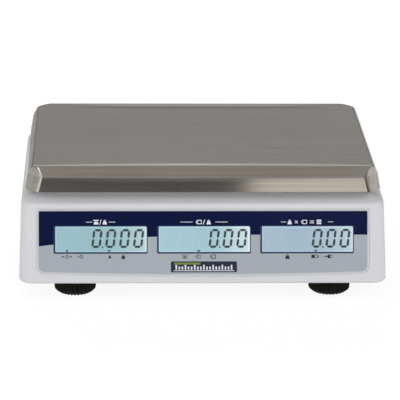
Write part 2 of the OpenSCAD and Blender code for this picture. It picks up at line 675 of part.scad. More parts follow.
// Power switch, let into the base plate from below
rocker_z = floor_lo + 3;
module power_switch_body() {
  color([0.05, 0.05, 0.05]) translate([switch_x, switch_y, 0]) {
    difference() {
      union() {
        translate([0, 0, floor_lo - 1.3]) plate(23, 17, 1.5, 1.2);
        translate([-9.7, -6.7, floor_lo - 0.2]) cube([19.4, 13.4, 16]);
      }
      translate([-8.6, -5.3, floor_lo - 2]) cube([17.2, 10.6, 10]);
    }
    translate([0, 6, rocker_z]) rotate([90, 0, 0]) cylinder(r = pin_r, h = 12);
    for (x = [-5, 5]) translate([x - 1, -2, floor_lo + 15]) cube([2, 4, 7]);
  }
}
module power_rocker() {
  color([0.7, 0.08, 0.06]) translate([switch_x, switch_y + 5, rocker_z]) rotate([90, 0, 0]) difference() {
    rotate([0, 0, 8]) linear_extrude(height = 10)
      polygon([[-7.2, -4.5], [0, -3.4], [7.2, -4.5], [6.4, 1], [3, 2.4], [-3, 2.4], [-6.4, 1]]);
    translate([0, 0, -1]) cylinder(r = pin_bore, h = 12);
  }
}
module dc_jack() {
  color([0.06, 0.06, 0.06]) at_jack() {
    difference() {
      union() {
        translate([0, 0, -8]) cylinder(r = jack_r, h = 7.6);
        translate([0, 0, -wall - 3]) cylinder(r = 8, h = 2.4);
        translate([-5.5, -5.5, -16]) cube([11, 11, 12]);
      }
      translate([0, 0, -10]) cylinder(r = 3.1, h = 12);
    }
    translate([0, 0, -11]) cylinder(r = 1, h = 9.5);
  }
}
module level_vial() {
  color([0.6, 0.8, 0.3]) translate([0, vial_y, z_deck]) {
    translate([0, 0, 0.05]) cylinder(r = vial_r + 2, h = 1.5);
    translate([0, 0, -6]) cylinder(r = vial_r, h = 7);
  }
}

// Lead of the load cell, clipped along the floor to the main board
lead_gap = 0.4;
LEAD = [[-cell_l / 2 - lead_gap, platter_y, cell_z + cell_h / 2],
  [-cell_l / 2 - 9, platter_y, cell_z + cell_h / 2 - 0.5],
  [-cell_l / 2 - 16, platter_y - 12, floor_hi + 9], [-cell_l / 2 - 6, platter_y - 28, floor_hi + 3],
  [-28, platter_y - 36, floor_hi + 2.6], [28, platter_y - 36, floor_hi + 2.6],
  [62, platter_y - 22, floor_hi + 2.6], [64, platter_y + 26, floor_hi + 2.6],
  [plug_x - 12, plug_y - 20, floor_hi + 4], [plug_x, plug_y - 7, main_top + plug_h / 2],
  [plug_x, plug_y - lead_gap, main_top + plug_h / 2]];
function way(p, i, t) =
  let (n = len(p) - 1, a = p[max(i - 1, 0)], b = p[i], c = p[min(i + 1, n)], d = p[min(i + 2, n)])
  0.5 * (2 * b + (c - a) * t + (2 * a - 5 * b + 4 * c - d) * t * t + (3 * b - a - 3 * c + d) * t * t * t);
module load_cell_cable() {
  route = concat([for (i = [0:len(LEAD) - 2]) for (k = [0:4]) way(LEAD, i, k / 5)], [LEAD[len(LEAD) - 1]]);
  n = len(route) - 1;
  rings = [for (i = [0:n])
    let (t = route[min(i + 1, n)] - route[max(i - 1, 0)], f = t / norm(t),
         s0 = cross(f, [0, 0, 1]), s = s0 / norm(s0), u = cross(s, f))
    [for (a = [0:45:315]) route[i] + 1.9 * (cos(a) * s + sin(a) * u)]];
  color([0.1, 0.1, 0.1]) ring_stack(rings);
}

// Feet: a stud in the base plate, and a ridged pad turning on its head
ridges = 28;
ridge_t = 1.6;
module ridged(r) {
  polygon([for (i = [0:ridges * 4 - 1]) let (a = 90 * i / ridges, q = r - (i % 4 < 2 ? 0 : ridge_t))
    [q * cos(a), q * sin(a)]]);
}
module foot_pad(f) {
  color([0.05, 0.05, 0.05]) translate([f[1] * foot_u, f[2] * foot_y, 0]) difference() {
    union() {
      translate([0, 0, foot_taper]) linear_extrude(height = foot_h - foot_taper) ridged(foot_r);
      translate([0, 0, foot_taper]) mirror([0, 0, 1])
        linear_extrude(height = foot_taper, scale = foot_low_r / foot_r) ridged(foot_r);
    }
    translate([0, 0, 3]) cylinder(r = stud_r + 2.3, h = 5.3);
    translate([0, 0, 3]) cylinder(r = stud_r + run_gap, h = foot_h);
  }
}
module foot_stud(f) {
  color([0.75, 0.75, 0.77]) translate([f[1] * foot_u, f[2] * foot_y, 0]) {
    translate([0, 0, 3.15]) cylinder(r = stud_r + 2, h = 5);
    translate([0, 0, 4]) cylinder(r = stud_r, h = foot_h + 9);
  }
}

weighing_platter();
platter_pads();
platter_spider();
spider_screws();
load_cell();
load_cell_spacer();
load_cell_screws();
overload_stops();
top_housing();
base_plate();
housing_screws();
customer_overlay();
customer_windows();
customer_lcds();
customer_backlights();
customer_board();
operator_overlay();
operator_windows();
operator_lcds();
operator_backlights();
operator_board();
keypad_mat();
board_screws();
main_board();
battery();
battery_strap();
battery_door();
power_switch_body();
power_rocker();
dc_jack();
level_vial();
load_cell_cable();
for (f = FEET) {
  foot_pad(f);
  foot_stud(f);
}
for (k = KEYS) key(k);
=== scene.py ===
# Retail price scale with its finishes. Metres, +Z up, the customer's side towards -Y.
import math

import bmesh
import bpy
from mathutils import Matrix, Vector


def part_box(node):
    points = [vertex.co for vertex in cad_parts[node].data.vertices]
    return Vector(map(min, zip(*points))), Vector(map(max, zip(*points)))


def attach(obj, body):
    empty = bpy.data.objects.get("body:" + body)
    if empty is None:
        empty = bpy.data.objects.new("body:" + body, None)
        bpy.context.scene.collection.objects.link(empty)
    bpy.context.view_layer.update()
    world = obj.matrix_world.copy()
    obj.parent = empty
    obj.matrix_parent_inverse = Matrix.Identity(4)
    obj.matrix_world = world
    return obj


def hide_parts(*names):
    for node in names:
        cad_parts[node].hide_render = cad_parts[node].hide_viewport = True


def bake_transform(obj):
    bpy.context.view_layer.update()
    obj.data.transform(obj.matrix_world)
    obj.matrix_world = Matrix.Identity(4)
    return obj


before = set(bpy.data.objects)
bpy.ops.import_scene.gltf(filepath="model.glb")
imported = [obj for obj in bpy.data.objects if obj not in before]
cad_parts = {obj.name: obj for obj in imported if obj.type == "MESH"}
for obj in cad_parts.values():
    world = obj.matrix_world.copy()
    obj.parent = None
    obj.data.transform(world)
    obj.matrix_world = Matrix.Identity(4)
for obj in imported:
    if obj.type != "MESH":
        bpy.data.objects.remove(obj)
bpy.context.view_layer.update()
scene = bpy.context.scene
scene.view_settings.view_transform = "Standard"


# Camera. The scale is seen from the customer's side, a little left of its middle and from above,
# through a long lens, so that its sides hardly draw together.
camera_at = Vector((-0.0886, -2.3861, 0.8091))
pitch_down = math.radians(17.808)
yaw_right = math.radians(2.190)
roll = math.radians(0.625)
ahead = Vector((math.sin(yaw_right) * math.cos(pitch_down),
                math.cos(yaw_right) * math.cos(pitch_down),
                -math.sin(pitch_down)))
level = Vector((math.cos(yaw_right), -math.sin(yaw_right), 0))
upright = level.cross(ahead)
side = level * math.cos(roll) + upright * math.sin(roll)
top = upright * math.cos(roll) - level * math.sin(roll)
camera = bpy.data.objects.new("camera", bpy.data.cameras.new("camera"))
camera.data.sensor_width = 36
camera.data.lens = 224.4
camera.data.clip_end = 100
camera.matrix_world = Matrix.Translation(camera_at) @ Matrix((side, top, -ahead)).transposed().to_4x4()
scene.collection.objects.link(camera)
scene.camera = camera


# Studio. A plain white table runs into a white background, with wide lamps round it and above it.
# A grey tent and some cards, seen only in reflections, give the polished steel its tones.
def add(tree, kind, inputs=None, **settings):
    """One node, with its settings, and its sockets set to values or linked to other sockets."""
    node = tree.nodes.new(kind)
    for name, value in settings.items():
        setattr(node, name, value)
    for key, value in (inputs or {}).items():
        if isinstance(value, bpy.types.NodeSocket):
            tree.links.new(value, node.inputs[key])
        else:
            node.inputs[key].default_value = value
    return node


def math_node(tree, operation, *values):
    """The result of one sum or comparison."""
    return add(tree, "ShaderNodeMath", dict(enumerate(values)), operation=operation).outputs[0]


def background_rays(tree):
    """1 for rays that see the background: straight, mirrored, or through glass."""
    path = add(tree, "ShaderNodeLightPath").outputs
    seen = math_node(tree, "MAXIMUM", path["Is Camera Ray"], path["Is Glossy Ray"])
    return math_node(tree, "MAXIMUM", seen, path["Is Transmission Ray"])


room_light = 0.14
world = bpy.data.worlds.new("studio")
scene.world = world
world.use_nodes = True
room = world.node_tree
room_strength = math_node(room, "MULTIPLY_ADD", background_rays(room), 1 - room_light, room_light)
room.links.new(room_strength, room.nodes["Background"].inputs["Strength"])
room.nodes["Background"].inputs["Color"].default_value = (1, 1, 1, 1)

floor_glow = 0.90
floor_bounce = 0.49
floor_mat = bpy.data.materials.new("studio_floor")
floor_mat.use_nodes = True
floor_tree = floor_mat.node_tree
floor_tree.nodes.clear()
floor_matte = add(floor_tree, "ShaderNodeBsdfDiffuse", {"Color": (0.16, 0.16, 0.16, 1)})
floor_strength = math_node(floor_tree, "MULTIPLY_ADD", background_rays(floor_tree),
                           floor_glow - floor_bounce, floor_bounce)
floor_white = add(floor_tree, "ShaderNodeEmission", {"Strength": floor_strength})
floor_both = add(floor_tree, "ShaderNodeAddShader", {0: floor_matte.outputs[0], 1: floor_white.outputs[0]})
add(floor_tree, "ShaderNodeOutputMaterial", {"Surface": floor_both.outputs[0]})


def stage_sheet(name, corners, material):
    """A flat sheet of the studio, which isn't part of the scale."""
    mesh = bpy.data.meshes.new(name)
    mesh.from_pydata(corners, [], [tuple(range(len(corners)))])
    sheet = bpy.data.objects.new(name, mesh)
    mesh.materials.append(material)
    scene.collection.objects.link(sheet)
    return sheet


floor_reach = 30
stage_sheet("studio_floor", [(-floor_reach, -floor_reach, 0), (floor_reach, -floor_reach, 0),
                             (floor_reach, floor_reach, 0), (-floor_reach, floor_reach, 0)], floor_mat)


def soft_lamp(name, at, aim, size, watts):
    """A wide soft lamp that isn't itself in the picture."""
    lamp = bpy.data.objects.new(name, bpy.data.lights.new(name, "AREA"))
    lamp.data.shape = "RECTANGLE"
    lamp.data.size, lamp.data.size_y = size
    lamp.data.energy = watts
    lamp.location = at
    lamp.rotation_euler = (Vector(aim) - Vector(at)).to_track_quat("-Z", "Y").to_euler()
    lamp.visible_camera = False
    lamp.visible_glossy = False
    lamp.visible_transmission = False
    scene.collection.objects.link(lamp)


soft_lamp("lamp_above", (-0.1, -0.75, 1.65), (0, 0, 0.05), (1.7, 1.3), 3)
soft_lamp("lamp_low", (0.05, -2.40, 0.62), (0, 0, 0.06), (1.8, 0.45), 17)
soft_lamp("lamp_front", (0.05, -2.10, 1.25), (0, 0, 0.06), (1.8, 1.8), 8.8)
soft_lamp("lamp_left", (-2.35, -0.30, 1.15), (0, 0, 0.06), (1.8, 1.2), 17)
soft_lamp("lamp_right", (2.35, -0.30, 1.15), (0, 0, 0.06), (1.8, 1.2), 17)
soft_lamp("lamp_back", (-0.35, 2.35, 1.25), (0, 0, 0.06), (1.8, 1.2), 34)


def reflector(name, corners, colour, strength):
    """A card that shows only in polished surfaces."""
    glow = bpy.data.materials.new(name)
    glow.use_nodes = True
    glow.cycles.emission_sampling = "NONE"
    glow.node_tree.nodes.clear()
    light = add(glow.node_tree, "ShaderNodeEmission", {"Color": (*colour, 1), "Strength": strength})
    add(glow.node_tree, "ShaderNodeOutputMaterial", {"Surface": light.outputs[0]})
    card = stage_sheet(name, corners, glow)
    card.visible_camera = False
    card.visible_diffuse = False
    card.visible_transmission = False
    card.visible_shadow = False
    return card


surround_r = 3.5
surround_sides = 24


def surround_band(name, low, high, tint, grey):
    """Part of the grey tent round the table, from one height angle to another, in degrees."""
    for i in range(surround_sides):
        corners = []
        for turn, lift in ((i, low), (i + 1, low), (i + 1, high), (i, high)):
            round_z = 2 * math.pi * turn / surround_sides
            flat = surround_r * math.cos(math.radians(lift))
            corners.append((flat * math.cos(round_z), flat * math.sin(round_z),
                            surround_r * math.sin(math.radians(lift))))
        reflector(f"{name}_{i}", corners, tint, grey)


surround_band("tent_low", 1, 13, (1.0, 0.975, 0.945), 0.20)
surround_band("tent_middle", 13, 16.4, (1.0, 0.975, 0.955), 0.53)
surround_band("tent_upper", 16.4, 23, (1.0, 0.975, 0.955), 0.35)
surround_band("tent_bright", 23, 34, (1.0, 0.975, 0.955), 0.55)
surround_band("tent_high", 34, 90, (1.0, 0.970, 0.870), 0.47)

strip_r = 2.6
strip_half = 2.2
strip_low, strip_high = 36, 56


def strip_corner(across, lift):
    """A corner of the long light strip that hangs behind the scale, at a height angle in degrees."""
    return (across, strip_r * math.cos(math.radians(lift)), strip_r * math.sin(math.radians(lift)))


reflector("strip_behind", [strip_corner(-strip_half, strip_low), strip_corner(strip_half, strip_low),
                           strip_corner(strip_half, strip_high), strip_corner(-strip_half, strip_high)],
          (1.0, 0.985, 0.965), 1.0)


def upright_card(name, start, end, low, high, tint, grey):
    """A standing card between two points of the table, from one height to another."""
    reflector(name, [(*start, low), (*end, low), (*end, high), (*start, high)], tint, grey)


upright_card("card_left_fold", (-0.360, -0.272), (-0.205, -0.272), 0.080, 0.145, (1.0, 0.98, 0.94), 1.6)
upright_card("card_left_band", (-0.401, -0.327), (-0.281, -0.427), 0.215, 0.440, (1.0, 0.98, 0.94), 4.0)
upright_card("card_dark", (-0.200, -0.272), (0.046, -0.272), 0.088, 0.134, (1.0, 0.97, 0.93), 0.085)
upright_card("card_right", (0.050, -0.270), (0.190, -0.270), 0.088, 0.134, (1.0, 0.955, 0.85), 1.15)
upright_card("card_right_fold", (0.195, -0.270), (0.360, -0.270), 0.080, 0.145, (1.0, 0.97, 0.93), 0.04)
upright_card("card_side", (0.62, -0.46), (0.62, 0.06), 0.05, 0.20, (1.0, 0.97, 0.90), 1.0)
upright_card("card_left", (-0.62, -0.46), (-0.62, 0.06), 0.05, 0.20, (1.0, 0.97, 0.90), 0.78)
upright_card("card_behind", (-0.60, 0.35), (-0.20, 0.35), 0.0, 0.13, (1.0, 0.97, 0.94), 0.45)


# Foot pads. Four moulded rubber discs with a ridged rim to turn them by and a tapered sole,
# each let onto the head of its stud.
def effect(name, inputs, outputs):
    """A shader node group: (group, its input sockets, its output node)."""
    group = bpy.data.node_groups.new(name, "ShaderNodeTree")
    for label, kind, value in inputs:
        socket = group.interface.new_socket(label, in_out="INPUT", socket_type=kind)
        socket.default_value = value
    for label, kind in outputs:
        group.interface.new_socket(label, in_out="OUTPUT", socket_type=kind)
    return group, group.nodes.new("NodeGroupInput").outputs, group.nodes.new("NodeGroupOutput")


def blend_colour(tree, share, first, second):
    """A mix of two colours."""
    mix = add(tree, "ShaderNodeMix", {0: share, 6: first, 7: second}, data_type="RGBA")
    return mix.outputs[2]


def spread(tree, value, low, high, to_low=0.0, to_high=1.0):
    """A value from low to high, moved to another range."""
    return add(tree, "ShaderNodeMapRange", {0: value, 1: low, 2: high, 3: to_low, 4: to_high}).outputs[0]


def noise(tree, place, scale, detail=2.0):
    """Random patches, of a size that falls as the scale rises."""
    return add(tree, "ShaderNodeTexNoise", {"Vector": place, "Scale": scale, "Detail": detail}).outputs[0]


def contrast(tree, patches, to_low=0.0, to_high=1.0):
    """Random patches, drawn out to the full width of a range."""
    return spread(tree, patches, 0.3, 0.7, to_low, to_high)


def put_out(group, tone, height, sockets, out):
    """Ends an effect: a tone picks its colour and its roughness, and a height makes its relief."""
    colour = blend_colour(group, tone, sockets["Shade"], sockets["Second shade"])
    roughness = spread(group, tone, 0.0, 1.0, sockets["Smooth"], sockets["Dull"])
    for label, value in (("Colour", colour), ("Roughness", roughness), ("Height", height)):
        group.links.new(value, out.inputs[label])


# moulded skin: the fine pebbled texture of a mould, with broad soft patches of tone and gloss
tone_sockets = [
    ("Patches", "NodeSocketFloat", 16.0), ("Shade", "NodeSocketColor", (0.8, 0.8, 0.8, 1)),
    ("Second shade", "NodeSocketColor", (0.7, 0.7, 0.7, 1)), ("Smooth", "NodeSocketFloat", 0.4),
    ("Dull", "NodeSocketFloat", 0.55)]
surface_sockets = [
    ("Colour", "NodeSocketColor"), ("Roughness", "NodeSocketFloat"), ("Height", "NodeSocketFloat")]
skin, skin_in, skin_out = effect("moulded_skin", [("Pebbles", "NodeSocketFloat", 1800.0)] + tone_sockets,
                                 surface_sockets)
skin_place = add(skin, "ShaderNodeTexCoord").outputs["Object"]
patch = contrast(skin, noise(skin, skin_place, skin_in["Patches"], 4.0))
put_out(skin, patch, noise(skin, skin_place, skin_in["Pebbles"]), skin_in, skin_out)


def finish(name):
    """A new material: (material, its node tree, its shader)."""
    made = bpy.data.materials.new(name)
    made.use_nodes = True
    return made, made.node_tree, made.node_tree.nodes["Principled BSDF"]


def dressed(name, group, own, shade, second, gloss, depth, metallic=0.0, shine=0.5, soft_edge=0.0):
    """A material whose colour, gloss and relief come from an effect with values of its own."""
    made, tree, shader = finish(name)
    values = {**own, "Shade": (*shade, 1), "Second shade": (*second, 1), "Smooth": gloss[0], "Dull": gloss[1]}
    look = add(tree, "ShaderNodeGroup", values, node_tree=group).outputs
    relief = add(tree, "ShaderNodeBump", {"Height": look["Height"], "Distance": depth, "Strength": 1.0})
    tree.links.new(look["Colour"], shader.inputs["Base Color"])
    tree.links.new(look["Roughness"], shader.inputs["Roughness"])
    tree.links.new(relief.outputs[0], shader.inputs["Normal"])
    shader.inputs["Metallic"].default_value = metallic
    shader.inputs["Specular IOR Level"].default_value = shine
    if soft_edge:
        eased = add(tree, "ShaderNodeBevel", {"Radius": soft_edge}, samples=6)
        tree.links.new(eased.outputs[0], relief.inputs["Normal"])
    return made


def moulded(name, shade, second, gloss, pebbles=1800.0, patches=16.0, depth=0.00002, **more):
    """A moulded or cast finish, from two shades and the ends of its roughness."""
    return dressed(name, skin, {"Pebbles": pebbles, "Patches": patches}, shade, second, gloss, depth, **more)


weld = 0.000001


def piece(name, points, faces, material, body, slot, sharp_edge=28):
    """A new mesh in the shared frame, smooth but for its sharp edges, riding on a body."""
    mesh = bpy.data.meshes.new(name)
    mesh.from_pydata([tuple(p) for p in points], [], faces)
    shape = bmesh.new()
    shape.from_mesh(mesh)
    bmesh.ops.remove_doubles(shape, verts=shape.verts, dist=weld)
    bmesh.ops.recalc_face_normals(shape, faces=shape.faces)
    shape.to_mesh(mesh)
    shape.free()
    mesh.shade_smooth()
    mesh.set_sharp_from_angle(angle=math.radians(sharp_edge))
    mesh.materials.append(material)
    made = bpy.data.objects.new(name, mesh)
    scene.collection.objects.link(made)
    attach(made, body)
    return made


def loft(rings):
    """Points and faces of a closed solid through a stack of rings of equal count."""
    count = len(rings[0])
    points = [p for ring in rings for p in ring]
    faces = [tuple(range(count)), tuple(range(len(points) - count, len(points)))]
    for row in range(len(rings) - 1):
        for i in range(count):
            j = (i + 1) % count
            faces.append((row * count + i, row * count + j, row * count + count + j, row * count + count + i))
    return points, faces


rubber = moulded("foot_rubber", (0.0075, 0.007, 0.0062), (0.014, 0.013, 0.0115), (0.55, 0.8),
                 pebbles=1400.0, patches=90.0, depth=0.00006, shine=0.10)
ridge_count = 28
ridge_depth = 0.0024
ridge_steps = 8
rim_r = 0.0197
sole_r = 0.0158
bore_r = 0.0042
head_r = 0.0063


def foot_ring(centre, radius, height, ridged):
    """One ring round a foot, with its ridges cut to a share of their depth."""
    ring = []
    steps = ridge_count * ridge_steps
    for i in range(steps):
        angle = 2 * math.pi * i / steps
        valley = 0.5 - 0.5 * math.cos(ridge_count * angle)
        r = radius - ridged * ridge_depth * valley
        ring.append((centre.x + r * math.cos(angle), centre.y + r * math.sin(angle), height))
    return ring


foot_corners = ("front_left", "front_right", "back_left", "back_right")
for corner in foot_corners:
    low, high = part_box(f"foot_pad_{corner}")
    middle = (low + high) / 2
    pad_top = high.z
    # radius, height and share of the ridges, from under the sole round the rim and down the bore
    foot_profile = (
        (0.0105, 0.0010, 0), (0.0110, 0.0002, 0), (0.0115, 0, 0), (0.0125, 0, 0), (sole_r - 0.0004, 0, 1),
        (sole_r, 0.0004, 1), (0.0180, 0.0020, 1), (0.0193, 0.0031, 1), (rim_r, 0.0040, 1),
        (rim_r, pad_top - 0.0016, 1), (rim_r - 0.0005, pad_top - 0.0006, 0.8), (rim_r - 0.0014, pad_top, 0),
        (0.0125, pad_top, 0), (0.0120, pad_top - 0.0006, 0), (bore_r + 0.0008, pad_top - 0.0006, 0),
        (bore_r, pad_top - 0.0012, 0), (bore_r, 0.0084, 0), (head_r, 0.0083, 0), (head_r, 0.0030, 0))
    rings = [foot_ring(middle, r, z, ridged) for r, z, ridged in foot_profile]
    pad = piece(f"foot_tread_{corner}", *loft(rings), rubber, f"pad_{corner}", "black_rubber")
    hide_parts(f"foot_pad_{corner}")


# Foot studs. Zinc plated threaded rods in the base plate, with a round head inside the pad,
# so that turning a foot levels the scale.
plated = moulded("zinc_plating", (0.62, 0.61, 0.57), (0.50, 0.50, 0.48), (0.22, 0.38),
                 pebbles=2600.0, patches=120.0, depth=0.000008, metallic=1.0)
thread_pitch = 0.00125
thread_depth = 0.00042
stud_sides = 28
stud_r = 0.0040
stud_head = 0.0050


def disc(cx, cv, r, sides=24):
    """Outline of a circle."""
    turns = [2 * math.pi * i / sides for i in range(sides)]
    return [(cx + r * math.cos(turn), cv + r * math.sin(turn)) for turn in turns]


def turned(centre, profile, sides):
    """Rings round an upright axis, from pairs of radius and height."""
    return [[(x, y, z) for x, y in disc(centre.x, centre.y, r, sides)] for r, z in profile]


for corner in foot_corners:
    low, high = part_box(f"foot_stud_{corner}")
    middle = (low + high) / 2
    head_top = low.z + stud_head
    stud_profile = [(head_r - 0.0006, low.z), (head_r - 0.0003, low.z + 0.0003),
                    (head_r - 0.0003, head_top - 0.0004), (head_r - 0.0007, head_top), (stud_r, head_top)]
    turns = int((high.z - head_top - 0.001) / thread_pitch)
    for turn in range(turns):
        z = head_top + (turn + 0.25) * thread_pitch
        stud_profile += [(stud_r, z), (stud_r, z + 0.00015),
                         (stud_r - thread_depth, z + 0.00058), (stud_r - thread_depth, z + 0.00072)]
    stud_profile += [(stud_r - 0.0002, high.z - 0.0006), (stud_r - 0.0008, high.z)]
    rings = turned(middle, stud_profile, stud_sides)
    stud = piece(f"foot_thread_{corner}", *loft(rings), plated, f"stud_{corner}", "plated_steel",
                 sharp_edge=40)
    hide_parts(f"foot_stud_{corner}")


# Base plate. A dark grey moulded tray that closes the housing from below, with bosses for the feet,
# the stops and the main board, and two rails for the battery door. The door is of the same plastic.
def wear(material, names):
    """Gives solids of the frame their finish."""
    for name in names:
        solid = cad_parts[name]
        for place in solid.material_slots:
            place.material = material


base_grey = moulded("base_plastic", (0.085, 0.086, 0.089), (0.105, 0.105, 0.107), (0.42, 0.58),
                    pebbles=1500.0, patches=22.0, depth=0.00003, soft_edge=0.0005)
wear(base_grey, ["base_plate", "battery_door"])


def panel_frame(foot, across, up_slope):
    """The frame of a leaning panel, from a point at its foot and two of its directions."""
    across, up_slope = Vector(across), Vector(up_slope)
    turn = Matrix((across, up_slope, across.cross(up_slope))).transposed().to_4x4()
    return Matrix.Translation(foot) @ turn


def prisms(place, outlines, low, high):
    """Points and faces of flat shapes on a panel, from one height above its face to another."""
    points, faces = [], []
    for outline in outlines:
        start, count = len(points), len(outline)
        points += [place @ Vector((x, v, low)) for x, v in outline]
        points += [place @ Vector((x, v, high)) for x, v in outline]
        faces += [tuple(range(start, start + count)), tuple(range(start + count, start + 2 * count))]
        for i in range(count):
            j = (i + 1) % count
            faces.append((start + i, start + j, start + count + j, start + count + i))
    return points, faces


# raised arrow on the door, pointing the way that it slides
door_low, door_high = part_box("battery_door")
under_door = panel_frame((0, (door_low.y + door_high.y) / 2, door_low.z), (1, 0, 0), (0, -1, 0))
arrow = [(-0.0026, 0.012), (-0.0026, -0.004), (-0.0075, -0.004), (0, -0.0125), (0.0075, -0.004),
         (0.0026, -0.004), (0.0026, 0.012)]
arrow_root, arrow_rise = -0.0002, 0.00035
piece("battery_door_arrow", *prisms(under_door, [arrow], arrow_root, arrow_rise), base_grey,
      "door", "grey_base")


# Screws and stops. Zinc plated steel: housing screws, board screws, load cell screws and set screws.
wear(plated, ["housing_screws", "board_screws", "load_cell_screws", "spider_screws", "overload_stops"])


# Weighing parts. A milled aluminium cell on a cast spacer, a cast frame on top of it with four posts,
# and a rubber pad on each post for the pan. Brushed metal shows the lines of its last cut.
brush, brush_in, brush_out = effect(
    "brushed_lines", [("Across", "NodeSocketVector", (6.0, 900.0, 900.0))] + tone_sockets, surface_sockets)
brush_spots = add(brush, "ShaderNodeTexCoord").outputs
brush_place = brush_spots["Object"]
# where a sheet is folded down at its ends, its lines run on downwards
end_facing, slow = 0.8, 0.01
facing = add(brush, "ShaderNodeSeparateXYZ", {0: brush_spots["Normal"]}).outputs[0]
folded = math_node(brush, "GREATER_THAN", math_node(brush, "ABSOLUTE", facing), end_facing)
down = math_node(brush, "MULTIPLY_ADD", folded, slow - 1.0, 1.0)
run_down = add(brush, "ShaderNodeCombineXYZ", {0: 1.0, 1: 1.0, 2: down}).outputs[0]
stretched = brush_place
for stretch in (brush_in["Across"], run_down):
    product = add(brush, "ShaderNodeVectorMath", {0: stretched, 1: stretch}, operation="MULTIPLY")
    stretched = product.outputs[0]
lines = noise(brush, stretched, 1.0, 3.0)
clouds = contrast(brush, noise(brush, brush_place, brush_in["Patches"], 3.0))
line_share = 0.55
tone = math_node(brush, "MULTIPLY_ADD", contrast(brush, lines), line_share,
                 math_node(brush, "MULTIPLY", clouds, 1 - line_share))
put_out(brush, tone, lines, brush_in, brush_out)


def brushed(name, shade, second, gloss, across, depth=0.000004):
    """A brushed or milled metal, with its lines along the axis that is stretched least."""
    return dressed(name, brush, {"Across": across, "Patches": 9.0}, shade, second, gloss, depth, metallic=1.0)


milled = brushed("milled_aluminium", (0.70, 0.71, 0.72), (0.58, 0.59, 0.60), (0.25, 0.42),
                 (1400.0, 20.0, 1400.0))
cast = moulded("cast_aluminium", (0.50, 0.50, 0.50), (0.40, 0.40, 0.405), (0.45, 0.62),
               pebbles=900.0, patches=40.0, depth=0.00008, metallic=1.0, soft_edge=0.0006)
wear(milled, ["load_cell"])
wear(cast, ["platter_spider", "load_cell_spacer"])
wear(rubber, ["platter_pads"])
lead_jacket = moulded("lead_jacket", (0.02, 0.02, 0.021), (0.03, 0.03, 0.03), (0.4, 0.55), patches=60.0)
wear(lead_jacket, ["load_cell_cable"])

# a copy of the cell's mesh stands in its place; the real cell bends between its fixed end on the spacer and
# its live end under the frame
bending_cell = bpy.data.objects.new("bending_cell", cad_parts["load_cell"].data.copy())
scene.collection.objects.link(bending_cell)
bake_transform(bending_cell)
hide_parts("load_cell")


# Power parts. A sealed lead battery under a plated strap, a rocker switch and an inlet for the adapter.
# Their cases are of black plastic, and the rocker is red.
battery_case = moulded("battery_case", (0.03, 0.03, 0.034), (0.042, 0.042, 0.046), (0.38, 0.5), patches=30.0,
                       soft_edge=0.0006)
black_plastic = moulded("black_plastic", (0.014, 0.014, 0.015), (0.02, 0.02, 0.02), (0.3, 0.45), patches=70.0,
                        soft_edge=0.0003)
rocker_red = moulded("rocker_red", (0.42, 0.018, 0.014), (0.34, 0.014, 0.012), (0.25, 0.38), patches=150.0,
                     soft_edge=0.0004)
wear(battery_case, ["battery"])
wear(plated, ["battery_strap"])
wear(black_plastic, ["power_switch_body", "dc_jack"])
wear(rocker_red, ["power_rocker"])


def frames(place, pairs, low, high):
    """Points and faces of flat borders, each between an outer and an inner outline of equal count."""
    points, faces = [], []
    for outer, inner in pairs:
        start, count = len(points), len(outer)
        for outline in (outer, inner):
            for n in (low, high):
                points += [place @ Vector((x, v, n)) for x, v in outline]
        for i in range(count):
            j = (i + 1) % count
            for a, b in ((0, 1), (1, 3), (3, 2), (2, 0)):
                faces.append((start + a * count + i, start + a * count + j,
                              start + b * count + j, start + b * count + i))
    return points, faces


def ink(name, shade, gloss=0.5):
    """A printed ink with a faint unevenness."""
    return moulded(name, shade, tuple(min(1, 1.15 * c + 0.002) for c in shade), (gloss, gloss + 0.12),
                   pebbles=3000.0, patches=300.0, depth=0.000004)


def bar(cx, cv, w, h):
    """Outline of a rectangle."""
    return [(cx + s * w / 2, cv + t * h / 2) for s, t in ((-1, -1), (1, -1), (1, 1), (-1, 1))]


def printed(name, place, solid, framed, low, high, material, body, slot):
    """Flat marks on a panel: filled outlines, and borders between pairs of outlines."""
    points, faces = prisms(place, solid, low, high)
    more, more_faces = frames(place, framed, low, high)
    faces += [tuple(len(points) + i for i in face) for face in more_faces]
    return piece(name, points + more, faces, material, body, slot)


# a line and a ring on the two faces of the rocker, for on and off
mark_white = ink("mark_white", (0.74, 0.75, 0.76))
switch_low, switch_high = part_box("power_switch_body")
rocker_axis_z = 0.0225
rocker_at = Vector(((switch_low.x + switch_high.x) / 2, (switch_low.y + switch_high.y) / 2, rocker_axis_z))
# each face has its middle, measured from the rocker's axis, and its slope
on_face = panel_frame(rocker_at + Vector((-0.00301, 0, -0.00441)), (0.9579, 0, 0.2872), (0, -1, 0))
off_face = panel_frame(rocker_at + Vector((0.00411, 0, -0.00341)), (0.99993, 0, -0.0119), (0, -1, 0))
mark_depth = (-0.00003, 0.00004)
printed("rocker_on_mark", on_face, [bar(0, 0, 0.0007, 0.0042)], [], *mark_depth, mark_white,
        "rocker", "red_rocker")
printed("rocker_off_mark", off_face, [], [(disc(0, 0, 0.0021), disc(0, 0, 0.0015))], *mark_depth, mark_white,
        "rocker", "red_rocker")

# the inlet's contact pin, a plated sleeve with a round end over the moulded core
jack_low, jack_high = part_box("dc_jack")
inlet_y, inlet_z = (jack_low.y + jack_high.y) / 2, (jack_low.z + jack_high.z) / 2
pin_end = jack_low.x + 0.0011
pin_sides = 20
pin_r = 0.00112
pin_profile = ((pin_end + 0.0085, pin_r), (pin_end + 0.0007, pin_r), (pin_end + 0.0002, 0.0009),
               (pin_end, 0.00045))
rings = [[(x, y, z) for y, z in disc(inlet_y, inlet_z, r, pin_sides)] for x, r in pin_profile]
piece("inlet_pin", *loft(rings), plated, "base", "plated_steel")


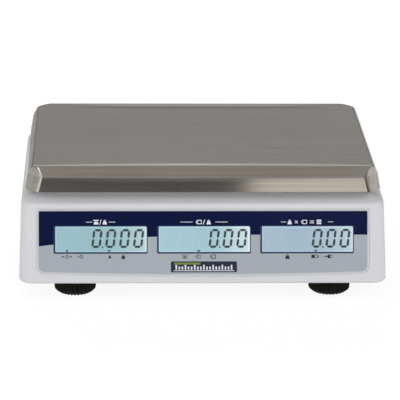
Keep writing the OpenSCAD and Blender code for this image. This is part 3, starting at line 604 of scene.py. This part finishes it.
# Boards. Green glass-fibre circuit boards behind each display and on the base plate,
# with a rubber key mat on the operator's one.
board_green = moulded("board_green", (0.012, 0.10, 0.035), (0.018, 0.14, 0.05), (0.3, 0.45),
                      pebbles=1200.0, patches=260.0, depth=0.00003)
mat_rubber = moulded("key_mat_rubber", (0.48, 0.48, 0.47), (0.42, 0.42, 0.415), (0.55, 0.7), patches=50.0)
wear(board_green, ["customer_board", "operator_board", "main_board"])
wear(mat_rubber, ["keypad_mat"])


# Housing. One white moulded shell with a fine matt texture, a recess for each overlay, raised collars
# round the four posts and rounded edges.
white_shell = moulded("white_shell", (0.76, 0.765, 0.79), (0.73, 0.735, 0.76), (0.42, 0.52),
                      pebbles=2200.0, patches=12.0, depth=0.000025, soft_edge=0.0006)
wear(white_shell, ["top_housing"])


# Overlays. Printed plastic films let into the recesses: dark blue round the display windows and grey
# below, parted by a plain curve. Frames of the two panels: x to the reader's right, y up, z outwards.
face_lean = math.radians(15)
panel_slope = math.radians(28.019)
face = panel_frame((0, -0.175, 0.0170), (1, 0, 0), (0, math.sin(face_lean), math.cos(face_lean)))
panel = panel_frame((0, 0.172879, 0.041031), (-1, 0, 0), (0, -math.cos(panel_slope), math.sin(panel_slope)))
overlay_n = -0.0003
film_blue = (0.0012, 0.0056, 0.041)
film_grey = (0.445, 0.485, 0.53)
film_shine = 0.10
film_relief = 0.000008
curve_power = 3.0
curve_blur = 0.0001


def two_tone(name, place, crest_v, crest_x, drop, reach):
    """A film, blue above a curve and grey below it. The curve falls by drop at reach from its crest."""
    made, tree, shader = finish(name)
    spot = add(tree, "ShaderNodeTexCoord").outputs["Object"]
    from_foot = add(tree, "ShaderNodeVectorMath", {0: spot, 1: place.translation}, operation="SUBTRACT")
    u, v = (add(tree, "ShaderNodeVectorMath", {0: from_foot.outputs[0], 1: place.col[axis].to_3d()},
                operation="DOT_PRODUCT").outputs["Value"] for axis in (0, 1))
    off = math_node(tree, "ABSOLUTE", math_node(tree, "SUBTRACT", u, crest_x))
    bend = math_node(tree, "POWER", math_node(tree, "DIVIDE", off, reach), curve_power)
    curve = math_node(tree, "MULTIPLY_ADD", bend, -drop, crest_v)
    share = spread(tree, math_node(tree, "SUBTRACT", v, curve), -curve_blur, curve_blur)
    blotch = noise(tree, spot, 14.0, 3.0)
    grey = blend_colour(tree, blotch, (*film_grey, 1), (*(0.93 * c for c in film_grey), 1))
    blue = blend_colour(tree, blotch, (*film_blue, 1), (*(1.25 * c for c in film_blue), 1))
    tree.links.new(blend_colour(tree, share, grey, blue), shader.inputs["Base Color"])
    tree.links.new(contrast(tree, blotch, 0.34, 0.46), shader.inputs["Roughness"])
    fine = noise(tree, spot, 3500.0, 1.0)
    relief = add(tree, "ShaderNodeBump", {"Height": fine, "Distance": film_relief, "Strength": 1.0})
    tree.links.new(relief.outputs[0], shader.inputs["Normal"])
    shader.inputs["Specular IOR Level"].default_value = film_shine
    return made


customer_film = two_tone("customer_film", face, 0.0448, 0.0894, 0.0108, 0.2436)
operator_film = two_tone("operator_film", panel, 0.0610, -0.06, 0.0022, 0.2)
wear(customer_film, ["customer_overlay"])
wear(operator_film, ["operator_overlay"])


# Display windows. Clear acrylic lenses in the overlays, over lit liquid crystal films with dark segments,
# each with a thin dark blue border, wider at its left and bottom where it is also painted shade of the
# window's edge.
# Backlights and crystal glasses stand behind them.
def rounded(cx, cv, w, h, r, steps=5):
    """Outline of a rectangle with round corners."""
    outline = []
    for turn, (sx, sv) in enumerate(((1, 1), (-1, 1), (-1, -1), (1, -1))):
        for i in range(steps + 1):
            angle = math.pi / 2 * (turn + i / steps)
            corner_x, corner_v = cx + sx * (w / 2 - r), cv + sv * (h / 2 - r)
            outline.append((corner_x + r * math.cos(angle), corner_v + r * math.sin(angle)))
    return outline


window_w, window_h, window_r = 0.0870, 0.0251, 0.0020
window_pitch = 0.0973
window_shift = 0.0005
customer_windows = [(window_shift + i * window_pitch, 0.0277 + window_h / 2) for i in (-1, 0, 1)]
operator_windows = [(i * window_pitch, 0.06618 + window_h / 2) for i in (-1, 0, 1)]

lens_clear, lens_tree, lens_shader = finish("lens_clear")
for socket, value in (("Base Color", (0.97, 0.99, 0.99, 1)), ("Transmission Weight", 1.0), ("IOR", 1.38),
                      ("Specular IOR Level", 0.2)):
    lens_shader.inputs[socket].default_value = value
lens_smear = noise(lens_tree, add(lens_tree, "ShaderNodeTexCoord").outputs["Object"], 60.0)
lens_tree.links.new(contrast(lens_tree, lens_smear, 0.01, 0.06), lens_shader.inputs["Roughness"])

# glow of a backlight: each window has a tint of its own, and the lamp at its right end is brighter
glow, glow_in, glow_out = effect("backlight_glow", [("Level", "NodeSocketFloat", 1.0)],
                                 [("Colour", "NodeSocketColor")])
glow_at = add(glow, "ShaderNodeTexCoord").outputs["Object"]
glow_x = add(glow, "ShaderNodeSeparateXYZ", {0: glow_at}).outputs[0]
first_tint = (0.305, 0.505, 0.575, 1)
second_tint = (0.365, 0.565, 0.660, 1)
third_tint = (0.360, 0.490, 0.610, 1)
lamp_tint = (0.74, 0.83, 0.83, 1)
lamp_from, lamp_to, lamp_fade = 0.004, 0.0435, 1.8
outer_lamps = 0.42
middle_start, middle_end = window_shift - window_pitch / 2, window_shift + window_pitch / 2
past_first = math_node(glow, "GREATER_THAN", glow_x, middle_start)
past_second = math_node(glow, "GREATER_THAN", glow_x, middle_end)
tint = blend_colour(glow, past_second, blend_colour(glow, past_first, first_tint, second_tint), third_tint)
in_window = math_node(glow, "WRAP", glow_x, middle_end, middle_start)
lamp_end = math_node(glow, "POWER", spread(glow, in_window, lamp_from, lamp_to), lamp_fade)
outer_share = spread(glow, math_node(glow, "ABSOLUTE", glow_x), 0.03, 0.06, 1.0, outer_lamps)
near_lamp = math_node(glow, "MULTIPLY", lamp_end, outer_share)
uneven = math_node(glow, "ADD", near_lamp, contrast(glow, noise(glow, glow_at, 26.0), -0.02, 0.07))
lit_shade = blend_colour(glow, uneven, tint, lamp_tint)
dimmed = add(glow, "ShaderNodeVectorMath", {0: lit_shade, "Scale": glow_in["Level"]}, operation="SCALE")
glow.links.new(dimmed.outputs[0], glow_out.inputs["Colour"])


def glowing(name, level):
    """A lit liquid crystal film, at a level of light."""
    made, tree, shader = finish(name)
    light = add(tree, "ShaderNodeGroup", {"Level": level}, node_tree=glow)
    tree.links.new(light.outputs["Colour"], shader.inputs["Emission Color"])
    shader.inputs["Emission Strength"].default_value = 1.0
    shader.inputs["Base Color"].default_value = (0.02, 0.03, 0.03, 1)
    smear = add(tree, "ShaderNodeTexNoise", {"Scale": 40.0}).outputs[0]
    tree.links.new(contrast(tree, smear, 0.4, 0.5), shader.inputs["Roughness"])
    return made


lit_film = glowing("lit_crystal", 0.93)
unlit_bars_film = glowing("pale_segments", 0.90)
margin_film = glowing("pale_margin", 1.10)
segment_ink = ink("dark_segments", (0.005, 0.028, 0.032))
# dark blue ink of the window borders, which also paints the shade of the window's edge at their left and
# lower sides
border_blue_and_shade = ink("border_blue_and_shade", (0.010, 0.022, 0.075), 0.35)
digit_w, digit_h = 0.0090, 0.0178
digit_pitch = 0.01305
last_digit = 0.0302
digit_foot = -0.0079
digits_wide = 6
dot_w, dot_off, dot_v = 0.0015, 0.0022, 0.0007
stroke = 0.0022
stroke_gap = 0.00035
digit_slant = math.tan(math.radians(6.8))
segments = {"0": "abcdef", "1": "bc", "2": "abdeg", "3": "abcdg", "4": "bcfg", "5": "acdfg", "6": "acdefg",
            "7": "abc", "8": "abcdefg", "9": "abcdfg"}


def seven_segments(lit, x, v):
    """Outlines of the lit bars of one slanted digit, whose lower left corner is at (x, v)."""
    w, h, t = digit_w - stroke, digit_h - stroke, stroke / 2
    ends = {"a": ((0, h), (w, h)), "b": ((w, h / 2), (w, h)), "c": ((w, 0), (w, h / 2)),
            "d": ((0, 0), (w, 0)), "e": ((0, 0), (0, h / 2)), "f": ((0, h / 2), (0, h)),
            "g": ((0, h / 2), (w, h / 2))}
    bars = []
    for segment in lit:
        (x0, v0), (x1, v1) = ends[segment]
        start, end = stroke_gap, x1 - x0 + v1 - v0 - stroke_gap
        hexagon = ((start, 0), (start + t, -t), (end - t, -t), (end, 0), (end - t, t), (start + t, t))
        placed = [(x0 + t + b, v0 + t + a) if x0 == x1 else (x0 + t + a, v0 + t + b) for a, b in hexagon]
        bars.append([(x + px + digit_slant * pv, v + pv) for px, pv in placed])
    return bars


def show(text, cx, cv):
    """Outlines of a number at the right of a window, and of its unlit digits at the left."""
    lit, unlit = [], []
    places = text.replace(".", "")[::-1]
    for i in range(digits_wide):
        x, v = cx + last_digit - i * digit_pitch, cv + digit_foot
        if i < len(places):
            lit += seven_segments(segments[places[i]], x, v)
        else:
            unlit += seven_segments("abcdefg", x, v)
    after_point = len(text) - 1 - text.index(".")
    dot_x = cx + last_digit - (after_point - 1) * digit_pitch - dot_off
    lit.append(rounded(dot_x, cv + digit_foot + dot_v, dot_w, dot_w, 0.0004, 2))
    return lit, unlit


def window(cx, cv, grow_w, grow_h, r):
    """Outline of a window, made larger or smaller."""
    return rounded(cx, cv, window_w + grow_w, window_h + grow_h, r)


print_low, print_high = 0.00001, 0.00004


def overlay_print(name, place, solid, framed, material, low=None, high=None):
    """A print on an overlay, sunk a little into what is under it."""
    low = overlay_n - print_low if low is None else low
    high = overlay_n + print_high if high is None else high
    printed(name, place, solid, framed, low, high, material, "base", "printed_overlay")


readings = ("0.000", "0.00", "0.00")
pointers = ((-0.0315, 0.0081), (-0.0049,), (0.0083,))
pointer_half, pointer_top, pointer_tip = 0.0018, -0.0100, -0.0119
lens_back = -0.0009
film_back, film_front = -0.0014, -0.00104
margin_front, unlit_front, lit_front = -0.00102, -0.00101, -0.00096
for viewer, place, windows in (("customer", face, customer_windows), ("operator", panel, operator_windows)):
    lit_bars, unlit_bars, panes, glows, margins, borders = [], [], [], [], [], []
    for (cx, cv), reading, tips in zip(windows, readings, pointers):
        lit, unlit = show(reading, cx, cv)
        lit_bars += lit + [[(cx + tip - pointer_half, cv + pointer_top), (cx + tip, cv + pointer_tip),
                            (cx + tip + pointer_half, cv + pointer_top)] for tip in tips]
        unlit_bars += unlit
        panes.append(window(cx, cv, -0.0002, -0.0002, window_r))
        glows.append(window(cx, cv, -0.0003, -0.0003, window_r))
        margins.append((window(cx, cv, -0.0004, -0.0004, window_r),
                        window(cx + 0.0003, cv, -0.0042, -0.0034, 0.0004)))
        # the border's inner outline sits right of and above the middle: the printed border is wider at the
        # left and bottom, as painted shade of the window's edge
        borders.append((window(cx, cv, 0.0014, 0.0014, 0.0012),
                        window(cx + 0.00045, cv + 0.0003, -0.0011, -0.0010, 0.0008)))
    lens = piece(f"{viewer}_lenses", *prisms(place, panes, lens_back, overlay_n), lens_clear,
                 "base", "clear_window")
    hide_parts(f"{viewer}_windows")
    for name, (points, faces), film in (
            ("lit_films", prisms(place, glows, film_back, film_front), lit_film),
            ("lit_margins", frames(place, margins, film_front, margin_front), margin_film),
            ("digits", prisms(place, lit_bars, film_front, lit_front), segment_ink),
            ("unlit_digits", prisms(place, unlit_bars, film_front, unlit_front), unlit_bars_film)):
        piece(f"{viewer}_{name}", points, faces, film, "base", "lcd_glass")
    overlay_print(f"{viewer}_window_borders_and_shade", place, [], borders, border_blue_and_shade)
crystal = moulded("crystal_glass", (0.30, 0.45, 0.45), (0.34, 0.5, 0.5), (0.1, 0.2), patches=40.0,
                  depth=0.000002)
backlight = moulded("backlight_diffuser", (0.80, 0.84, 0.86), (0.76, 0.80, 0.82), (0.4, 0.5), patches=40.0)
wear(crystal, ["customer_lcds", "operator_lcds"])
wear(backlight, ["customer_backlights", "operator_backlights"])


# Prints on the overlays. White marks above each window and dark ones below it, screen printed: what is
# weighed, its price and the sum, then zero, steadiness, units, net, overload, battery and mains.
def moved(outline, cx, cv, size):
    """An outline drawn at unit height, brought to its size and place."""
    return [(cx + size * x, cv + size * v) for x, v in outline]


# each mark at unit height: its filled outlines, and its borders as pairs of outlines
sides = (-1, 1)
weight_body = [(-0.48, -0.5), (0.48, -0.5), (0.32, 0.14), (-0.32, 0.14)]
tag_edge = [(-0.66, 0), (-0.30, 0.45), (0.66, 0.45), (0.66, -0.45), (-0.30, -0.45)]
tag_inside = [(-0.48, 0), (-0.23, 0.30), (0.51, 0.30), (0.51, -0.30), (-0.23, -0.30)]
pan_base = [(-0.55, -0.5), (0.55, -0.5), (0.38, 0.05), (-0.38, 0.05)]
slash = [(-0.24, -0.55), (-0.08, -0.55), (0.24, 0.55), (0.08, 0.55)]
arm, half = 0.5, 0.085
plus = [(half, half), (half, arm), (-half, arm), (-half, half), (-arm, half), (-arm, -half),
        (-half, -half), (-half, -arm), (half, -arm), (half, -half), (arm, -half), (arm, half)]
cross = [((x - v) * math.sqrt(0.5), (x + v) * math.sqrt(0.5)) for x, v in plus]
zero_heads = [[(s * 1.25, 0.26), (s * 0.62, 0), (s * 1.25, -0.26)] for s in sides]
zero_tails = [bar(s * 1.40, 0, 0.3, 0.14) for s in sides]
net_block = [(-0.26, -0.28), (0.26, -0.28), (0.16, 0.14), (-0.16, 0.14)]
plug_body = [(-0.35, 0.2), (0.0, 0.5), (0.35, 0.5), (0.35, -0.5), (0.0, -0.5), (-0.35, -0.2)]
plug_pins = [bar(0.65, s * 0.25, 0.6, 0.17) for s in sides]
marks = {
    "weight": ([weight_body], [(disc(0, 0.27, 0.23), disc(0, 0.27, 0.10))]),
    "tag": ([disc(-0.2, 0, 0.12)], [(tag_edge, tag_inside)]),
    "pan": ([pan_base, bar(0, 0.16, 0.16, 0.22), bar(0, 0.38, 1.2, 0.22)], []),
    "coins": ([rounded(0, step, 1.05, 0.26, 0.12) for step in (-0.36, 0, 0.36)], []),
    "slash": ([slash], []),
    "cross": ([cross], []),
    "equals": ([bar(0, s * 0.2, 0.9, 0.17) for s in sides], []),
    "zero": (zero_heads + zero_tails, [(rounded(0, 0, 0.78, 1, 0.36), rounded(0, 0, 0.42, 0.64, 0.18))]),
    "steady": ([bar(-0.85, 0, 0.5, 0.17)], [(disc(0, 0, 0.45), disc(0, 0, 0.27))]),
    "net": ([net_block], [(bar(0, 0, 1.1, 1), bar(0, 0, 0.84, 0.74))]),
    "battery": ([bar(-0.42, 0, 0.95, 0.66), bar(1.08, 0, 0.2, 0.4)],
                [(rounded(0, 0, 2.0, 1, 0.2), rounded(0, 0, 1.66, 0.7, 0.1))]),
    "plug": ([plug_body, bar(-0.8, 0, 0.9, 0.2)] + plug_pins, [])}


def mark(kind, cx, cv, size):
    """A mark at its size and place: its filled outlines and its borders."""
    solid, framed = marks[kind]
    return ([moved(outline, cx, cv, size) for outline in solid],
            [tuple(moved(outline, cx, cv, size) for outline in pair) for pair in framed])


def gathered(drawn):
    """All outlines and all borders of some marks."""
    return ([outline for solid, framed in drawn for outline in solid],
            [pair for solid, framed in drawn for pair in framed])


def rules(cx, cv, off, length):
    """A thin line at each side of a label."""
    return [bar(cx + s * off, cv, length, rule_w) for s in sides], []


label_white = ink("label_white", (0.80, 0.82, 0.87))
icon_dark = ink("icon_dark", (0.010, 0.012, 0.022))
rule_w = 0.0005
label_rules = ((0, 0.0108, 0.0062), (1, 0.0165, 0.0115), (2, 0.0222, 0.0050))
label_row = (("pan", 0, -0.0042, 1), ("slash", 0, 0, 1), ("weight", 0, 0.0040, 1),
             ("tag", 1, -0.0050, 1), ("slash", 1, 0, 1), ("weight", 1, 0.0044, 1),
             ("weight", 2, -0.0165, 1), ("cross", 2, -0.0102, 0.8), ("tag", 2, -0.0030, 1),
             ("equals", 2, 0.0045, 1), ("coins", 2, 0.0112, 1))
for viewer, place, windows, rise, tall in (("customer", face, customer_windows, 0.0165, 0.0044),
                                           ("operator", panel, operator_windows, 0.0156, 0.0034)):
    label_v = windows[0][1] + rise
    label_marks = [rules(windows[i][0], label_v, off, length) for i, off, length in label_rules]
    label_marks += [mark(kind, windows[i][0] + off, label_v, share * tall)
                    for kind, i, off, share in label_row]
    overlay_print(f"{viewer}_labels", place, *gathered(label_marks), label_white)
icon_v = 0.02415
icon = 0.0037
icon_row = (("zero", -0.1284, 0.88), ("steady", -0.1149, 1), ("weight", -0.0881, 0.8),
            ("weight", -0.0754, 1.1), ("net", -0.0176, 1), ("tag", -0.0052, 1), ("tag", 0.0088, 1.15),
            ("weight", 0.0793, 1.25), ("battery", 0.1051, 0.85), ("plug", 0.1183, 1))
icons = [mark(kind, x, icon_v, share * icon) for kind, x, share in icon_row]
overlay_print("customer_icons", face, *gathered(icons), icon_dark)

# a plain dark plate in the middle of the lower edge, with a green bar, a white line and graduation ticks
plate_x, plate_v, plate_w, plate_h = 0.0005, 0.0145, 0.0616, 0.0096
plate_blue = ink("plate_blue", (0.008, 0.012, 0.034), 0.35)
plate_green = ink("plate_green", (0.16, 0.24, 0.05))
plate_edge = ink("plate_edge", (0.045, 0.06, 0.12))
plate_top = overlay_n + print_high
plate_edges = (rounded(plate_x, plate_v, plate_w + 0.0008, plate_h + 0.0008, 0.0010),
               rounded(plate_x, plate_v, plate_w - 0.0002, plate_h - 0.0002, 0.0006))
overlay_print("plate_ground", face, [rounded(plate_x, plate_v, plate_w, plate_h, 0.0006)], [], plate_blue)
overlay_print("plate_border", face, [], [plate_edges], plate_edge, high=plate_top + 0.00001)
on_plate = (plate_top - print_low, plate_top + 0.00003)
overlay_print("plate_bar", face, [bar(-0.0152, plate_v + 0.0031, 0.0250, 0.0020)], [], plate_green, *on_plate)
tick_pitch = 0.0029
ticks = []
for i in range(-9, 10):
    tall = 0.0046 if i % 3 == 0 else 0.0030
    ticks.append(bar(plate_x + i * tick_pitch, plate_v - 0.0027 + tall / 2, 0.0014, tall))
ticks.append(bar(plate_x, plate_v - 0.0037, 0.0570, 0.0006))
overlay_print("plate_ticks", face, ticks, [], label_white, *on_plate)


# Keys. Moulded caps that pass through the operator's overlay, each with a flange under the housing, a stem
# on the rubber mat, rounded edges and a shallow dish. Numbers and marks are printed in dark blue.
key_grain = {"gloss": (0.36, 0.48), "pebbles": 2600.0, "patches": 60.0}
key_pale = moulded("key_cap_pale", (0.66, 0.67, 0.68), (0.62, 0.63, 0.64), **key_grain)
key_grey = moulded("key_cap_grey", (0.38, 0.41, 0.45), (0.35, 0.38, 0.42), **key_grain)
key_ink = ink("key_ink", (0.006, 0.014, 0.055), 0.4)
key_w, key_h = 0.033, 0.013
key_r, least_key_r = 0.0015, 0.0007
key_pitch_u, key_pitch_v = 0.040, 0.018
first_row_v = 0.0135
key_top = 0.0021
dish = 0.0003
# height above the panel and inset from the edge of the cap; the first two rings are the stem's
key_profile = (
    (-0.0062, None), (-0.0040, None), (-0.0040, -0.0015), (-0.0028, -0.0015), (-0.0028, 0),
    (key_top - 0.0008, 0), (key_top - 0.00045, 0.00007), (key_top - 0.00018, 0.00024),
    (key_top - 0.00004, 0.0005), (key_top, 0.0009), (key_top - 0.00003, 0.0012),
    (key_top - 0.5 * dish, 0.0019), (key_top - 0.92 * dish, 0.0026), (key_top - dish, 0.0031))
stem_r = 0.003
legend, small_legend = 0.0050, 0.0038
key_print = 0.00005
figure_share = 0.73
number_keys = 4


def numeral(text, cx, cv, size, low, high):
    """Points and faces of a raised number on the operator's panel."""
    letter = bpy.data.curves.new("numeral", "FONT")
    letter.body = text
    letter.size = size / figure_share
    letter.extrude = (high - low) / 2
    holder = bpy.data.objects.new("numeral", letter)
    shape = bpy.data.meshes.new_from_object(holder)
    xs = [v.co.x for v in shape.vertices]
    ys = [v.co.y for v in shape.vertices]
    middle = Vector(((min(xs) + max(xs)) / 2 - cx, (min(ys) + max(ys)) / 2 - cv, -(low + high) / 2))
    points = [panel @ (v.co - middle) for v in shape.vertices]
    faces = [tuple(face.vertices) for face in shape.polygons]
    bpy.data.objects.remove(holder)
    bpy.data.meshes.remove(shape)
    return points, faces


# marks for the backlight, the tare, the unit of weight and the decimal point
sun_ray = bar(0.46, 0, 0.20, 0.10)
sun_turns = [Matrix.Rotation(math.pi / 4 * i, 2) for i in range(8)]
sun_rays = [[tuple(turn @ Vector(corner)) for corner in sun_ray] for turn in sun_turns]
tray = [(-0.75, 0.1), (-0.6, 0.1), (-0.6, -0.35), (0.6, -0.35), (0.6, 0.1), (0.75, 0.1), (0.75, -0.5),
        (-0.75, -0.5)]
drop = [(-0.08, 0.55), (-0.08, 0.12), (-0.26, 0.12), (0, -0.22), (0.26, 0.12), (0.08, 0.12), (0.08, 0.55)]
marks["sun"] = ([disc(0, 0, 0.25)] + sun_rays, [])
marks["tare"] = ([tray, drop], [])
marks["units"] = gathered([mark("weight", -0.62, -0.13, 0.74), mark("weight", 0.48, 0, 1)])
marks["point"] = ([rounded(0, -0.3, 0.26, 0.26, 0.08)], [])
key_marks = {"clear": ("cross", 1), "point": ("point", 1), "zero": ("zero", 0.85), "tare": ("tare", 0.85),
             "unit": ("units", 1), "light": ("sun", 1), "total": ("equals", 1)}
key_rows = (("7", "8", "9", "clear", "memory_1", "zero", "light"),
            ("4", "5", "6", "point", "memory_2", "tare"),
            ("1", "2", "3", "0", "memory_3", "unit", "total"))
key_places = [(key, column, 2 - i) for i, keys in enumerate(key_rows) for column, key in enumerate(keys)]
for key, column, row in key_places:
    rows_high = 2 if key == "total" else 1
    u = (column - 3) * key_pitch_u
    v = first_row_v + (row + (rows_high - 1) / 2) * key_pitch_v
    cap_h = key_h + (rows_high - 1) * key_pitch_v
    rings = []
    for n, inset in key_profile:
        if inset is None:
            outline = rounded(u, v, 2 * stem_r, 2 * stem_r, stem_r)
        else:
            r = max(key_r - 0.6 * inset, least_key_r)
            outline = rounded(u, v, key_w - 2 * inset, cap_h - 2 * inset, r)
        rings.append([panel @ Vector((x, y, n)) for x, y in outline])
    body = f"key_{key}_body"
    numbered = column < number_keys
    shade = key_pale if numbered else key_grey
    cap = piece(f"key_cap_{key}", *loft(rings), shade, body, "key_cap", sharp_edge=40)
    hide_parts(f"key_{key}")
    depth = (key_top - dish - print_low, key_top - dish + key_print)
    if key in key_marks:
        kind, share = key_marks[key]
        printed(f"key_mark_{key}", panel, *mark(kind, u, v, share * legend), *depth, key_ink, body, "key_cap")
    else:
        size = legend if numbered else small_legend
        piece(f"key_number_{key}", *numeral(key[-1], u, v, size, *depth), key_ink, body, "key_cap")
    if key.startswith("memory"):
        border = (rounded(u, v, 0.0090, 0.0066, 0.0012), rounded(u, v, 0.0080, 0.0056, 0.0008))
        printed(f"key_border_{key}", panel, [], [border], *depth, key_ink, body, "key_cap")


# Level vial. A round bubble level in the deck under the pan: a black cup with a flange, green liquid under a
# domed top, a ring printed on it and the bubble inside the ring.
vial_low, vial_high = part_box("level_vial")
vial_at = (vial_low + vial_high) / 2
vial_sides = 48
cup_r, flange_r, liquid_r = 0.008, 0.010, 0.0073
flange_z = vial_high.z - 0.0015
vial_top = vial_high.z
cup_profile = (
    (cup_r - 0.0004, vial_low.z), (cup_r, vial_low.z + 0.0004), (cup_r, flange_z), (flange_r, flange_z),
    (flange_r, vial_top - 0.0005), (flange_r - 0.0002, vial_top - 0.00012), (flange_r - 0.0006, vial_top),
    (liquid_r + 0.0005, vial_top - 0.0001), (liquid_r, vial_top - 0.0005), (liquid_r, vial_top - 0.0010))
cup = piece("vial_cup", *loft(turned(vial_at, cup_profile, vial_sides)), black_plastic, "base", "vial_green")
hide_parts("level_vial")
clear_gloss = {"gloss": (0.05, 0.10), "depth": 0.000001}
vial_green = moulded("vial_green", (0.36, 0.66, 0.05), (0.30, 0.58, 0.04), patches=100.0, **clear_gloss)
vial_bubble = moulded("vial_bubble", (0.66, 0.86, 0.36), (0.60, 0.80, 0.30), patches=300.0, **clear_gloss)
dome_z = vial_top - 0.00055
liquid_profile = ((liquid_r - 0.0001, dome_z - 0.0004), (liquid_r - 0.0001, dome_z),
                  (0.0055, dome_z + 0.00022), (0.0035, dome_z + 0.00034), (0.0015, dome_z + 0.00039),
                  (0.0004, dome_z + 0.0004))
piece("vial_liquid", *loft(turned(vial_at, liquid_profile, vial_sides)), vial_green, "base", "vial_green")
bubble_profile = ((0.0019, dome_z + 0.00030), (0.00195, dome_z + 0.00040), (0.0015, dome_z + 0.00046),
                  (0.0004, dome_z + 0.0005))
piece("vial_bubble", *loft(turned(vial_at, bubble_profile, vial_sides)), vial_bubble, "base", "vial_green")
over_vial = panel_frame((vial_at.x, vial_at.y, dome_z), (1, 0, 0), (0, 1, 0))
printed("vial_ring", over_vial, [], [(disc(0, 0, 0.0030, 32), disc(0, 0, 0.0026, 32))], 0.00030, 0.00042,
        icon_dark, "base", "vial_green")


# Pan. One stainless steel sheet folded down all round, with a bowed bend along its long edges and a
# flared skirt. It is brushed along its length and lifts off its four pads.
steel = brushed("brushed_stainless", (0.485, 0.467, 0.444), (0.385, 0.370, 0.351), (0.19, 0.28),
                (2.5, 420.0, 420.0), depth=0.000003)
pan_low, pan_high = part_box("weighing_platter")
flare = 0.0025
half_w = (pan_high.x - pan_low.x) / 2 - flare
half_d = (pan_high.y - pan_low.y) / 2 - flare
pan_y = (pan_high.y + pan_low.y) / 2
pan_corner, least_corner = 0.0145, 0.004
sheet = 0.001
skirt_z, top_z = pan_low.z, pan_high.z
crease_z = skirt_z + 0.0145
band_run, band_bow = 0.005, 0.006
corner_steps, long_steps, short_steps = 24, 36, 8
near_fall = 0.0001
far_hollow = 0.0009
facet = 1.45
fold_edge = 0.0006
near_gain, far_gain, skirt_gain = 1.9, 0.45, -0.5


def long_side(w, d, r, bow):
    """One long side of the pan with its two corners, each flattened to a facet. Each point has its place,
    how far the bow draws it in, and its share of the edge's fall."""
    quarter = []
    for i in range(corner_steps + 1):
        angle = math.pi / 2 * i / corner_steps
        across, along = max(math.cos(angle), 0.0) ** facet, math.sin(angle) ** facet
        quarter.append((w - r + r * across, d - r + r * along, 0.0, 0.0))
    for x in [1 - fold_edge / (w - r)] + [1 - 2 * i / long_steps for i in range(1, long_steps // 2 + 1)]:
        quarter.append((x * (w - r), d, bow * (1 - x * x), 1 - x ** 4))
    return quarter + [(-x, *rest) for x, *rest in quarter[-2::-1]]


def pan_ring(inset, z, bow, near=0.0, far=0.0):
    """The crease outline drawn in by an inset, with corners that narrow towards the top. The near long
    edge is bowed in and let down, and the far one is hollow, each by a share."""
    w, d = half_w - inset, half_d - inset
    near_r, far_r = (max(pan_corner - (gain if inset > 0 else skirt_gain) * inset, least_corner)
                     for gain in (near_gain, far_gain))
    ring = [(x, pan_y + y, z - far * far_hollow * share)
            for x, y, drawn, share in long_side(w, d, far_r, bow)]
    span = 2 * d - near_r - far_r
    steps = [fold_edge] + [span * i / short_steps for i in range(1, short_steps)] + [span - fold_edge]
    ring += [(-w, pan_y + d - far_r - step, z) for step in steps]
    ring += [(-x, pan_y - y + drawn, z - near * near_fall * share)
             for x, y, drawn, share in long_side(w, d, near_r, bow)]
    ring += [(w, pan_y - d + near_r + step, z) for step in steps]
    return ring


# inset, height, bow and the near and far shares, from the underside round the skirt to the top
pan_profile = (
    (0.0400, top_z - sheet, 0), (0.0290, top_z - sheet, 0.5 * band_bow),
    (0.0205, top_z - sheet, 0.7 * band_bow, 0.1, 0.5),
    (0.0155, top_z - sheet, 0.9 * band_bow, 0.3, 1), (0.0110, top_z - sheet, band_bow, 0.75, 0.5),
    (0.0076, top_z - sheet, band_bow, 1),
    (0.0060, top_z - 0.0014, 0.9 * band_bow, 1), (0.0051, top_z - 0.0020, 0.7 * band_bow, 0.9),
    (0.0016, crease_z + 0.0004, 0.1 * band_bow), (0.0009, crease_z - 0.0010, 0),
    (sheet - flare, skirt_z + 0.0004, 0), (sheet - flare - 0.0003, skirt_z, 0),
    (0.0003 - flare, skirt_z, 0), (-flare, skirt_z + 0.0004, 0),
    (-0.6 * flare, skirt_z + 0.4 * (crease_z - skirt_z), 0), (-0.00022, crease_z - 0.0013, 0),
    (0.00006, crease_z - 0.0002, 0.02 * band_bow), (0.00055, crease_z + 0.0010, 0.09 * band_bow),
    (0.00115, crease_z + 0.0022, 0.20 * band_bow, 0.15),
    (0.58 * band_run, crease_z + 0.0056, 0.50 * band_bow, 0.5),
    (0.82 * band_run, top_z - 0.00130, 0.70 * band_bow, 0.86),
    (0.95 * band_run, top_z - 0.00086, 0.81 * band_bow, 0.93),
    (1.10 * band_run, top_z - 0.00050, 0.89 * band_bow, 0.97),
    (1.30 * band_run, top_z - 0.00022, 0.95 * band_bow, 1),
    (1.55 * band_run, top_z - 0.00006, band_bow, 0.93),
    (0.0093, top_z, band_bow, 0.70, 0.20), (0.0115, top_z, band_bow, 0.42, 0.58),
    (0.0140, top_z, 0.97 * band_bow, 0.21, 0.95), (0.0155, top_z, 0.95 * band_bow, 0.12, 1.0),
    (0.0175, top_z, 0.92 * band_bow, 0.08, 0.88), (0.0205, top_z, 0.88 * band_bow, 0.05, 0.50),
    (0.0245, top_z, 0.7 * band_bow, 0, 0.12), (0.0290, top_z, 0.5 * band_bow),
    (0.0330, top_z, 0.3 * band_bow), (0.0400, top_z, 0))
pan_rings = [pan_ring(*ring) for ring in pan_profile]
pan = piece("steel_pan", *loft(pan_rings), steel, "platter", "stainless_sheet")
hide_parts("weighing_platter")
